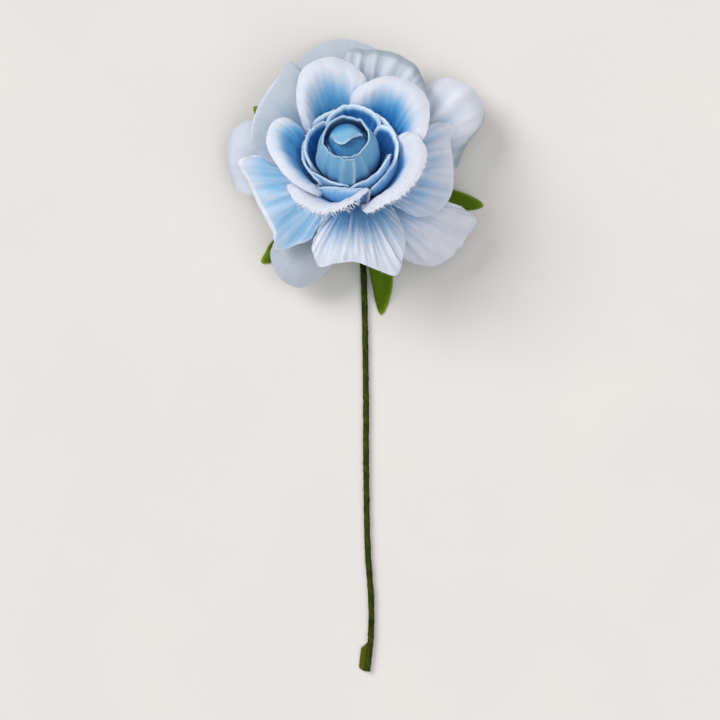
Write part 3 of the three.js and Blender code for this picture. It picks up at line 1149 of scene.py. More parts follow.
    def add_tufts(self, fringe: "Fringe", surface: dict[str, np.ndarray], start: int, around: np.ndarray,
                  fray: Fray, rng: np.random.Generator) -> None:
        """Adds the tufts of one frayed stretch.

        Args:
            fringe: what takes the threads in.
            surface: the sheet's places, and what its finish reads.
            start: the lobe's first column.
            around: the azimuths of its columns at the rim.
            fray: the stretch.
            rng: the random draws.
        """
        past = (around - fray.start) % 360
        inside = np.flatnonzero(past < (fray.end - fray.start) % 360)
        if not len(inside):
            return
        first, last = start + inside[0], start + inside[-1]
        rim = surface["places"][first:last + 1, -1]
        run = np.concatenate([[0], np.linalg.norm(np.diff(rim, axis=0), axis=1).cumsum()])
        for at in np.arange(0, run[-1], fray.spacing):
            tuft = np.interp(at + rng.uniform(-0.1, 0.1), run, np.arange(first, last + 1))
            length = fray.length * rng.uniform(0.5, 1.15)
            for _ in range(fray.threads):
                column = int(round(tuft + rng.uniform(-0.5, 0.5)))
                self.add_thread(fringe, surface, column, length, fray.slant, rng)

    def add_thread(self, fringe: "Fringe", surface: dict[str, np.ndarray], column: int, length: float,
                   slant: float, rng: np.random.Generator) -> None:
        """Adds one thread that runs on from the cloth.

        Args:
            fringe: what takes the thread in.
            surface: the sheet's places, and what its finish reads.
            column: where along the rim.
            length: how far it stands out.
            slant: how much it leans along the rim.
            rng: the random draws.
        """
        places = surface["places"]
        column = min(max(column, 1), len(places) - 2)
        root = places[column, -1]
        outward = unit(root - places[column, -2])
        along = unit(places[column + 1, -1] - places[column - 1, -1])
        direction = unit(outward + (slant + rng.normal(0, 0.12)) * along)
        start = root - direction * Fringe.ROOT
        fringe.add(start, direction, (length + Fringe.ROOT) * rng.uniform(0.8, 1.1), rng)


class Fringe:
    """Fine threads, each a thin tapered tube."""

    SIDES = 3
    STEPS = 4
    RADIUS = 0.042
    ROOT = 0.15

    def __init__(self, name: str) -> None:
        """Starts with no threads."""
        self.name = name
        self.paths: list[np.ndarray] = []

    def add(self, root: np.ndarray, direction: np.ndarray, length: float, rng: np.random.Generator) -> None:
        """Adds a thread that curls a little.

        Args:
            root: where it starts.
            direction: which way it leaves.
            length: its length.
            rng: the random draws.
        """
        steps = np.linspace(0, 1, self.STEPS + 1)[:, None]
        curl = rng.normal(0, 0.22, 3) + np.array([0, 0, -0.12])
        self.paths.append(root + direction * length * steps + curl * length * steps ** 2)

    def tube(self, path: np.ndarray, first: int) -> tuple[list[np.ndarray], list[tuple[int, ...]]]:
        """One thread, as a tube that tapers to its tip.

        Args:
            path: its middle line.
            first: the number of its first corner.

        Returns:
            Its corners and its faces.
        """
        direction = unit(path[-1] - path[0])
        side = unit(np.cross(direction, [0.31, 0.23, 0.92]))
        other = np.cross(direction, side)
        corners = []
        for step, point in enumerate(path[:-1]):
            radius = self.RADIUS * (1 - 0.5 * step / self.STEPS)
            for turn in np.arange(self.SIDES) * 2 * np.pi / self.SIDES:
                corners.append(point + radius * (math.cos(turn) * side + math.sin(turn) * other))
        corners.append(path[-1])
        faces = []
        for ring in range(self.STEPS - 1):
            at = first + ring * self.SIDES
            for k in range(self.SIDES):
                after = (k + 1) % self.SIDES
                faces.append((at + k, at + after, at + self.SIDES + after, at + self.SIDES + k))
        at = first + (self.STEPS - 1) * self.SIDES
        tip = first + len(corners) - 1
        faces += [(at + k, at + (k + 1) % self.SIDES, tip) for k in range(self.SIDES)]
        faces.append(tuple(first + k for k in reversed(range(self.SIDES))))
        return corners, faces

    def build(self, slot: str) -> bpy.types.Object:
        """Makes one mesh of all the threads.

        Args:
            slot: the record's material slot; not used.

        Returns:
            The piece.
        """
        corners: list[np.ndarray] = []
        faces: list[tuple[int, ...]] = []
        for path in self.paths:
            more_corners, more_faces = self.tube(path, len(corners))
            corners += more_corners
            faces += more_faces
        mesh = bpy.data.meshes.new(self.name)
        mesh.from_pydata([tuple(p) for p in (np.array(corners) + place_offset()) * MM], [], faces)
        mesh.materials.append(LooseThread().material())
        piece = bpy.data.objects.new(self.name, mesh)
        bpy.context.collection.objects.link(piece)
        smooth(piece, 80)
        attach(piece, BODY)
        return piece


def frill(rim: Rim | Point, **dress: object) -> Lobe:
    """A lobe with its rim and the ways its cloth is dressed."""
    return Lobe(rim=tuple(rim), **dress)


def ring_lobes(rims: list[Rim], puffs: tuple[float, ...]) -> list[Lobe]:
    """The like lobes of a small ring, whose rims all curl back.

    Args:
        rims: each lobe's rim points.
        puffs: how far each lobe bulges, inwards where it's below 0.

    Returns:
        The lobes.
    """
    return [frill(rim, dye=1.0, pale=0.9, blend=1.0, crease=0.12, creases=7, flutter=0.25, puff=puff,
                  ragged=0.16, stray=14, rolls=(Roll(0, 360, -80, 0.6),))
            for rim, puff in zip(rims, puffs)]


# In the lobes below, shade, the rolls' shade, the painted pleat shade and the shade patches paint shade on
# the cloth, and paint light where they are below 0
BACK_PETALS = PetalSheet(
    name="back_petal_sheet", node="outer_petals_back", slot="petal_fabric", cloth=PETAL_CLOTH,
    rests_on="calyx", place=1, hub_radius=3, rim_lean=0, rise=18, bow=0.45, flare=-35, side_flare=-10,
    flare_reach=0.35, notch_reach=8, notch_lift=3, flat=(0.056, 0.056), flat_area=0.00125, seed=101,
    columns=96, rows=42,
    lobes=[
        frill([(7, 14.5, 3), (13, 18.4, 1.6), (20, 21.9, 0.8), (29, 25.2, 0.2), (37, 26.4, 0), (45, 26.1, 0),
               (52, 24.6, 0.4), (57, 21, 1.2), (60, 16, 2)],
              dye=0.42, pale=9, blend=8, radial=0.6, crease=0.42, creases=12, groove=0.3, wave=0.6, puff=1.3,
              rolls=(Roll(6, 32, -75, 3.4, 0.9, 12),), dusks=(ShadePatch(14, 9, 0.5),)),
        frill([(70, 18, 1), (80, 24, -1), (97, 26.2, -2.5), (114, 24, -1.8), (127, 18, 0.2)],
              dye=0.4, pale=8, blend=7, shade=0.66, crease=0.12, creases=7, wave=0.25),
        frill([(140, 17, 1.5), (147.5, 22.8, -0.2), (155, 23.9, -0.8), (166, 23.2, -1.3), (178, 21, -0.8),
               (184, 16.5, 1.2)],
              dye=0.35, pale=7, shade=0.36, crease=0.1, creases=6, wave=0.25,
              rolls=(Roll(138, 184, -50, 2.5, 0.2),)),
        frill([(206, 12.5, 3), (217, 18.1, 0.5), (231, 19.9, -0.8), (241, 19.2, -0.8), (248, 16.6, 0.5),
               (253, 13.5, 2), (259, 11, 4)],
              dye=0.3, pale=7, shade=0.7, crease=0.1, creases=6, wave=0.25),
        frill([(297, 11, 5), (304, 14, 3.4), (310, 17, 2.2), (318, 19.3, 1.5), (330, 20.1, 1.5),
               (340, 20.8, 1.6), (346, 21, 2.2), (350, 18.5, 3), (353, 15, 4)],
              dye=0.5, pale=9.5, blend=5.5, radial=0.75, crease=0.6, creases=12, groove=0.4, wave=0.3,
              corners=(Corner(345, 0.3, 5),), frays=(Fray(325, 326.6, 2.0, 2.0, 2, -2.1),)),
    ],
)

FRONT_PETALS = PetalSheet(
    name="front_petal_sheet", node="outer_petals_front", slot="petal_fabric", cloth=PETAL_CLOTH,
    rests_on="back_petal_sheet", place=2, hub_radius=2.8, rim_lean=12, rise=38, bow=0.5, flare=-18,
    side_flare=10, flare_reach=0.3, notch_reach=7, notch_lift=5.2, flat=(0.054, 0.054), flat_area=0.0011,
    seed=211, columns=120, rows=48,
    lobes=[
        frill([(40, 14, 8.5), (51, 19.8, 8.9), (62, 23.2, 8), (76, 24.2, 7.6), (91, 22.2, 8.6),
               (99, 16, 8.2)],
              dye=0.45, pale=7, blend=5, radial=0.5, shade=0.55, crease=0.5, creases=13, groove=0.5,
              wave=0.25, rolls=(Roll(40, 94, -68, 2.3, 0.7, 12),)),
        frill([(112, 15, 8.6), (116, 19.8, 9.8), (119, 22.6, 9.6), (124, 21.7, 8.8), (133, 21, 7.9),
               (145, 20.1, 7.6), (155, 19, 7.4), (162, 17.5, 7), (169, 13.5, 6.5)],
              dye=0.5, pale=7, blend=6.5, radial=0.5, shade=0.72, crease=0.16, creases=8, wave=0.25,
              corners=(Corner(119, 0.4, 2.5),), rolls=(Roll(124, 168, 70, 0.4, -0.5),)),
        frill([(163, 15.5, 5.6), (169, 20.2, 5.2), (181, 18, 4.4), (193, 16.9, 3.9), (206, 16.3, 3.6),
               (216, 16.5, 3.4), (221, 17, 3.4), (228, 14.5, 4.6), (234, 12, 5.6)],
              dye=0.5, pale=2.2, blend=3.6, radial=0.5, shade=0.1, crease=0.38, creases=11, groove=0.2,
              wave=0.3, corners=(Corner(221, 0.6, 3), Corner(168, 0.5, 4)), dusks=(ShadePatch(222, 16, 0.45),),
              rolls=(Roll(166, 219, -65, 1.0, -1.2, 5),)),
        frill([(237, 11, 6.5), (239, 13.4, 6.6), (250, 15.7, 6.2), (259, 14.8, 6.6), (272, 14.5, 7),
               (285, 16.2, 6.3), (293, 17.5, 5.7), (302, 15.6, 5.6), (311, 13.2, 6.2), (318, 10.4, 6.6)],
              dye=0.58, pale=7.0, blend=4.4, radial=0.85, shade=0.22, crease=0.58, creases=17, groove=0.4,
              wave=0.25, corners=(Corner(250, 0.5, 4), Corner(294, 0.6, 4))),
        frill([(327, 12, 7), (333, 14.2, 7), (343, 16.1, 7), (353, 16.9, 6.9), (9, 17.2, 7.4), (20, 17.6, 8),
               (27, 19, 8.4), (33, 16.8, 9), (37, 12.5, 8.5)],
              dye=0.42, pale=3.2, blend=4.4, radial=0.4, crease=0.32, creases=16, groove=0.15, wave=0.2,
              rolls=(Roll(330, 24, -60, 0.7, -0.6),)),
    ],
)

CURLED_PETALS = PetalSheet(
    name="curled_petal_sheet", node="curled_petals", slot="petal_fabric", cloth=PETAL_CLOTH,
    rests_on="front_petal_sheet", place=3, hub_radius=2.6, rim_lean=25, rise=42, bow=0.62, flare=-30,
    side_flare=80, flare_reach=0.28, notch_reach=8.4, notch_lift=7.6, flat=(0.05, 0.05), flat_area=0.001,
    seed=307, columns=110, rows=46,
    lobes=[
        frill([(6, 12, 13.6), (14, 13.7, 15), (34, 15.5, 16.5), (59, 14.3, 17), (77, 11.6, 16.3),
               (88, 10.2, 14.6)],
              dye=1.0, pale=4.4, blend=3.9, shade=0.2, crease=0.16, creases=10, flutter=0.1),
        frill([(76, 12.4, 15), (84, 14.2, 16.2), (100, 16.4, 17), (119, 15.8, 17), (135, 12.4, 16),
               (144, 10, 14)],
              dye=0.75, pale=4.8, blend=4.2, shade=0.2, crease=0.14, creases=8, flutter=0.1),
        frill([(150, 12, 14.5), (158, 13.6, 15.2), (177, 13.6, 16), (190, 12.6, 15.6), (204, 11.7, 15),
               (220, 10.6, 14), (234, 9.4, 12.6)],
              dye=0.8, pale=2.2, blend=2.6, shade=0.06, crease=0.12, creases=8, flutter=0.1),
        frill([(208, 11.6, 12.3), (216, 12.2, 13), (232, 12.9, 13), (250, 12.6, 13), (264, 11.4, 13.4),
               (276, 10, 13.5), (288, 8.5, 13.3), (296, 7.8, 12.6)],
              dye=0.6, pale=4.8, blend=2.4, crease=0.12, creases=9, flutter=0.1, ragged=0.1, raw=1.0,
              stray=60, frays=(Fray(226, 282, 0.95, 0.8, 7, 0.9, 0.75),)),
        frill([(283, 10.6, 11.8), (289, 11.9, 13), (302, 12.6, 14.5), (318, 13.4, 15), (334, 13.8, 15.8),
               (348, 13.5, 16), (1, 12.4, 15.8), (11, 11.2, 15.2), (17, 9.6, 14)],
              dye=0.7, pale=5.0, blend=2.2, crease=0.12, creases=10, flutter=0.1, ragged=0.12, raw=1.0,
              stray=60, frays=(Fray(284, 350, 0.55, 0.6, 5, 0.5, 0.4),)),
    ],
)

CUP_PETALS = PetalSheet(
    name="cup_petal_sheet", node="cup_petals", slot="inner_petal_fabric", cloth=INNER_CLOTH,
    rests_on="curled_petal_sheet", place=4, hub_radius=2.4, rim_lean=25, rise=60, bow=0.45, flare=82,
    side_flare=82, flare_reach=0.35, notch_reach=5.6, notch_lift=8, flat=(0.034, 0.034), flat_area=0.00038,
    seed=401, columns=80, rows=32,
    lobes=ring_lobes([
        [(14, 8, 12.2), (30, 8.1, 13.2), (47, 8.1, 13.4), (64, 8, 13.2), (80, 7.5, 12)],
        [(86, 8.1, 12.2), (102, 8.1, 13.4), (119, 8.1, 13.6), (136, 7.9, 13.2), (152, 7.3, 12)],
        [(158, 7.9, 12), (174, 7.8, 13), (191, 7.7, 13.3), (208, 7.3, 13.2), (224, 6.8, 12.2)],
        [(230, 7.1, 12.2), (244, 6.8, 13.2), (262, 6.5, 13.4), (280, 6.5, 13.2), (296, 6.3, 12)],
        [(302, 6.9, 12.2), (318, 6.8, 13.2), (335, 7.1, 13.6), (352, 7.7, 13.4), (8, 7.6, 12)],
    ], (-0.3, -0.3, -0.5, -1.8, -1.6)),
)

INNER_PETALS = PetalSheet(
    name="inner_petal_sheet", node="inner_petals", slot="inner_petal_fabric", cloth=INNER_CLOTH,
    rests_on="cup_petal_sheet", place=5, hub_radius=2.2, rim_lean=25, rise=64, bow=0.45, flare=85,
    side_flare=85, flare_reach=0.35, notch_reach=5.2, notch_lift=9, flat=(0.034, 0.034), flat_area=0.00036,
    seed=503, columns=80, rows=32,
    lobes=ring_lobes([
        [(338, 7.3, 13.6), (352, 7.7, 14.6), (8, 7.8, 14.8), (26, 7.6, 14.6), (42, 6.8, 13.6)],
        [(50, 7.4, 13.6), (64, 7.7, 14.8), (82, 7.8, 15), (102, 7.6, 14.8), (120, 6.8, 13.6)],
        [(128, 7.1, 13.4), (142, 7.3, 14.2), (160, 7.3, 14.6), (178, 7.1, 14.2), (196, 6.3, 13)],
        [(204, 6.7, 12.8), (218, 6.5, 13.8), (236, 6.1, 14), (252, 5.9, 13.8), (268, 5.6, 12.8)],
        [(274, 5.9, 12.8), (286, 5.9, 13.6), (302, 6, 14), (320, 6.3, 14.8), (334, 6.5, 15.6),
         (346, 6.7, 15.4), (353, 6.6, 13.6)],
    ], (-0.2, -0.2, -0.5, -0.8, -1.0)),
)

@dataclass
class Calyx(PetalSheet):
    """The green star under the petals, whose narrow sepals droop to the table."""

    waist_reach: float = 8.0
    waist_lift: float = -1.4
    shoulder_reach: float = 16.5
    shoulder_lift: float = -3.9
    half_width: float = 2.1
    shoulder_half_width: float = 1.8
    tip_half_width: float = 0.95
    tip_length: float = 1.5
    tip_lift: float = 0.17 - HEAD_HEIGHT

    def rim_of(self, lobe: Lobe) -> Rim:
        """The outline of a narrow sepal, which runs out along its facing and swings aside at its tip.

        Args:
            lobe: the sepal, whose rim holds its facing, its length and its swing.

        Returns:
            The rim points.
        """
        facing, length, swing = lobe.rim

        def side(turn: float, reach: float, half_width: float, lift: float) -> Point:
            """A rim point to one side of the sepal's middle line."""
            beside = math.degrees(math.asin(half_width / reach))
            return (facing + swing * (reach / length) ** 2 + turn * beside, reach, lift)

        def edge(turn: float) -> Rim:
            """One side's rim points, from the hub out."""
            return [
                side(turn, self.waist_reach, self.half_width, self.waist_lift),
                side(turn, self.shoulder_reach, self.shoulder_half_width, self.shoulder_lift),
                side(turn, length - self.tip_length, self.tip_half_width, self.tip_lift),
            ]

        return [*edge(-1), (facing + swing, length, self.tip_lift), *reversed(edge(1))]


SEPALS = ((67, 22, 0), (140, 23, 0), (217, 20.4, 0), (294, 21.8, -12), (357, 22.4, -3))
CALYX = Calyx(
    name="calyx_star", node="calyx", slot="green_fabric", cloth=SEPAL_CLOTH, rests_on="stem_tape", place=0,
    hub_radius=3.2, rim_lean=0, rise=-12, bow=0.4, flare=-22, side_flare=-22, flare_reach=0.3,
    notch_reach=4.2, notch_lift=-0.4, flat=(0.0447, 0.0425), flat_area=0.00057, seed=607, columns=64, rows=30,
    lobes=[frill(sepal, dye=0.75, pale=0.6, blend=1.2, crease=0.07, creases=5, wave=0.05, flutter=0,
                 ragged=0.03, stray=0) for sepal in SEPALS],
)


@dataclass(frozen=True)
class StripFolds:
    """How the bud's strip is folded at each place of its grid, mostly in shares from 0 to 1.

    Entered is past the core, folded is on the turn that folds in, and ring is on the outer turns. Lid is how
    far along the folded turn a place is, and sunken whether it lies under the hood. Over is how far past the
    fold it is, and rise how far up the bud.
    """

    entered: np.ndarray
    folded: np.ndarray
    ring: np.ndarray
    lid: np.ndarray
    sunken: np.ndarray
    over: np.ndarray
    rise: np.ndarray


@dataclass
class BudRoll:
    """The bud: one strip of cloth rolled round the wire's end, whose inner turns fold over its mouth."""

    name: str = "rolled_bud"
    turns: float = 3.0
    first_turn: float = -89.0
    core_radius: float = 2.9
    core_share: float = 0.1
    outer_radius: float = 4.15
    standoff: float = 1.65
    top: float = 18.6
    foot_share: float = 0.62
    belly_share: float = 1.3
    mouth_share: float = 0.88
    fold_start: float = 0.096
    fold_end: float = 0.464
    fold_height: float = 0.76
    fold_slope: float = 0.014
    fold_lift: float = 0.6
    hood_share: float = 0.394
    hood_sink: float = 0.8
    hood_edge: tuple[tuple[float, float], ...] = (
        (2.5, 0.8), (1.8, 0.45), (1.0, -0.1), (0.35, -0.75), (-0.4, -1.3), (-1.1, -1.35), (-1.9, -0.8),
        (-2.3, 0.2),
    )
    floor_edge: tuple[tuple[float, float], ...] = ((-1.4, 0.6), (0.2, 2.0))
    high_drop: float = 0.7
    core_drop: float = 3.6
    low_drop: float = 2.1
    ring_start: float = 0.62
    pleat_depth: float = 0.26
    seam_lean: float = 18.0
    lip_angle: float = 95.0
    lip_radius: float = 0.45
    front: float = 250.0
    rim_crowding: float = 1.4
    columns: int = 520
    rows: int = 46
    thickness: float = 0.24
    flat: tuple[float, float] = (0.074, 0.013)
    seed: int = 709

    def lid_edge(self, lid: np.ndarray) -> np.ndarray:
        """Where the folded turn's rim ends over the mouth: along the hood's edge, then under the hood.

        Args:
            lid: places along the folded turn, 0 to 1.

        Returns:
            Places across the axis.
        """
        hood = Spline(np.array([(x, y, 0.0) for x, y in self.hood_edge]))
        edge = hood.at(np.clip(lid[:, 0] / self.hood_share, 0, 1))[:, None, :2]
        first, last = (np.array(point) for point in self.floor_edge)
        under = first + (last - first) * ramp(self.hood_share, 1, lid)[..., None]
        return edge + (under - edge) * ramp(self.hood_share, self.hood_share + 0.12, lid)[..., None]

    def folds(self, along: np.ndarray, up: np.ndarray) -> StripFolds:
        """How the strip is folded.

        Args:
            along: places along the strip, one a row.
            up: places up the strip, in one row.

        Returns:
            The folds.
        """
        entered = ramp(self.fold_start - self.fold_slope, self.fold_start, along)
        folded = entered * (1 - ramp(self.fold_end - 0.02, self.fold_end, along))
        lid = np.clip((along - self.fold_start) / (self.fold_end - self.fold_start), 0, 1)
        return StripFolds(
            entered=entered,
            folded=folded,
            ring=ramp(self.ring_start, self.ring_start + 0.07, along),
            lid=lid,
            sunken=ramp(self.hood_share - 0.03, self.hood_share + 0.12, lid),
            over=np.clip((up - self.fold_height) / (1 - self.fold_height), 0, 1),
            rise=up + (np.minimum(up / self.fold_height, 1) - up) * folded,
        )

    def wound_radius(self, along: np.ndarray, rise: np.ndarray) -> np.ndarray:
        """The radius of the wound strip, which bellies between its foot and its mouth.

        Args:
            along: places along the strip.
            rise: places up the bud.

        Returns:
            The radius.
        """
        middle = 2 * self.belly_share - (self.foot_share + self.mouth_share) / 2
        share = self.foot_share * (1 - rise) ** 2 + 2 * middle * rise * (1 - rise)
        share = share + self.mouth_share * rise ** 2
        inner = HOLE_RADIUS + CLOTH_THICKNESS / 2
        core = inner + (self.core_radius - inner) * along / self.core_share
        widening = (self.outer_radius - self.core_radius) * (along - self.core_share) / (1 - self.core_share)
        wound = np.minimum(core, self.core_radius + widening)
        return inner + (wound - inner) * (self.outer_radius * share - inner) / (self.outer_radius - inner)

    def mouth_height(self, along: np.ndarray, folds: StripFolds) -> np.ndarray:
        """How high the strip's rim stands: the inner turns lower, the outer turns ragged.

        Args:
            along: places along the strip.
            folds: how it is folded.

        Returns:
            The height over the foot.
        """
        drop = self.core_drop + (self.high_drop - self.core_drop) * folds.entered
        drop = drop + self.hood_sink * folds.entered * (1 - ramp(0, 0.16, folds.lid))
        drop = drop + (self.low_drop - self.high_drop) * folds.sunken
        drop = drop * (1 - folds.ring)
        mouth = self.top - drop + 0.2 * ripple(along, 26, self.seed + 2) * ramp(0.62, 0.68, along)
        mouth = mouth + 0.14 * ripple(along, 120, self.seed + 3) * ramp(0.55, 0.6, along)
        return mouth + 0.09 * ripple(along, 400, self.seed + 4) * folds.ring

    def creases(self, along: np.ndarray, up: np.ndarray, folds: StripFolds) -> tuple[np.ndarray, np.ndarray]:
        """The upright creases of the outer turns, strongest at the front.

        Args:
            along: places along the strip.
            up: places up the strip.
            folds: how it is folded.

        Returns:
            The creases' height, and how much of it shows.
        """
        azimuth = self.first_turn + 360 * self.turns * along
        facing = np.clip(np.cos(np.radians(azimuth - self.front)), 0, 1) ** 0.7
        height = ripple(along, 150, self.seed) + 0.6 * ripple(along, 60, self.seed + 1)
        return height, ramp(0, 0.4, up) * (1 - 0.6 * ramp(0.85, 1, up)) * folds.ring * (0.25 + facing)

    def places(self, along: np.ndarray, up: np.ndarray, folds: StripFolds, creased: np.ndarray) -> np.ndarray:
        """Where the strip lies.

        Args:
            along: places along the strip.
            up: places up the strip.
            folds: how it is folded.
            creased: how far its creases stand out.

        Returns:
            Its corners, columns by rows by 3.
        """
        radius = self.wound_radius(along, folds.rise) + creased
        radius = radius + 0.15 * ramp(0.95, 1, along) * up
        radius = radius + 0.14 * ripple(along, 64, self.seed + 5) * folds.ring * ramp(0.6, 1, up)
        bottom = INNER_PETALS.place * HUB_PITCH + self.standoff
        mouth = self.mouth_height(along, folds)
        inwards = folds.over * folds.folded
        lift = bottom + (mouth - bottom) * folds.rise + self.fold_lift * np.sin(np.pi * 0.75 * inwards)
        below_rim = (mouth - bottom) * (1 - folds.rise)
        bent = np.clip(math.radians(self.lip_angle) * folds.ring - below_rim / self.lip_radius, 0, None)
        radius = radius + self.lip_radius * (1 - np.cos(bent))
        lift = lift + self.lip_radius * (np.sin(bent) - bent)
        wound = self.first_turn + 360 * self.turns * along
        azimuth = np.radians(wound + self.seam_lean * up * ramp(0.9, 1, along))
        across = np.stack([radius * np.cos(azimuth), radius * np.sin(azimuth)], -1)
        across = across + (self.lid_edge(folds.lid) - across) * inwards[..., None]
        return np.concatenate([across, lift[..., None]], -1) @ HEAD_TURN.T + FOOT

    def surface(self) -> dict[str, np.ndarray]:
        """The strip on its grid: columns run along it from the wire out, rows up it.

        Returns:
            Its places and what its finish reads, by name.
        """
        along = np.linspace(0, 1, self.columns + 1)[:, None]
        up = 1 - (1 - np.linspace(0, 1, self.rows + 1)[None, :]) ** self.rim_crowding
        folds = self.folds(along, up)
        creases, pleated = self.creases(along, up, folds)
        places = self.places(along, up, folds, self.pleat_depth * creases * pleated)
        run = np.linalg.norm(np.diff(places[:, :self.rows // 2], axis=0), axis=2).mean(1)
        run = np.concatenate([[0], run.cumsum()])[:, None] + 0 * up
        height = np.linalg.norm(np.diff(places, axis=1), axis=2).cumsum(1)
        height = np.concatenate([np.zeros((len(places), 1)), height], 1)
        level = 0 * run
        outer = ramp(self.fold_end, self.ring_start, along)
        # Deeper dye and painted shade: darker under the hood near the wall, on the sunken floor, and on the
        # inner turns
        under = 0.6 * (1 - ramp(0, 0.6, folds.over)) * (1 - ramp(0.45, 0.67, folds.lid))
        lid_dye_and_shade = 0.34 + under + 0.4 * ramp(0.4, 0.67, folds.lid)
        dye = 0.62 - 0.22 * ramp(0.5, 1, up)
        dye = dye + (lid_dye_and_shade - dye) * folds.folded + 0.35 * (1 - folds.folded) * (1 - outer)
        crest = np.clip(creases, 0, 1) * pleated
        # Painted shade on the pleats' crests and on the sunken floor under the hood
        return {
            "places": places,
            "flat_cut": np.stack([run, height, level], -1),
            "dye": dye,
            "crest": crest,
            "edge": np.minimum(height[:, -1:] - height, run[-1:] - run),
            "shade": 0.3 * crest + 0.6 * folds.sunken * (1 - outer),
            "raw": 0.3 + level,
            "grain": np.stack([run * 3.2, height * 0.2, level], -1),
        }

    def build(self) -> bpy.types.Object:
        """Returns:
            The finished piece.
        """
        surface = self.surface()
        piece = grid_piece(self.name, surface["places"])
        dress_grid(piece, surface)
        merge_seams(piece, flip=False)
        BUD_CLOTH.dress(piece)
        thicken(piece, self.thickness, Face.REVERSE.value, Face.CUT.value)
        smooth(piece, 55)
        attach(piece, BODY)
        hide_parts("bud_roll")
        log.info("%s: strip %.1f mm long", self.name, surface["flat_cut"][-1, 0, 0])
        return piece


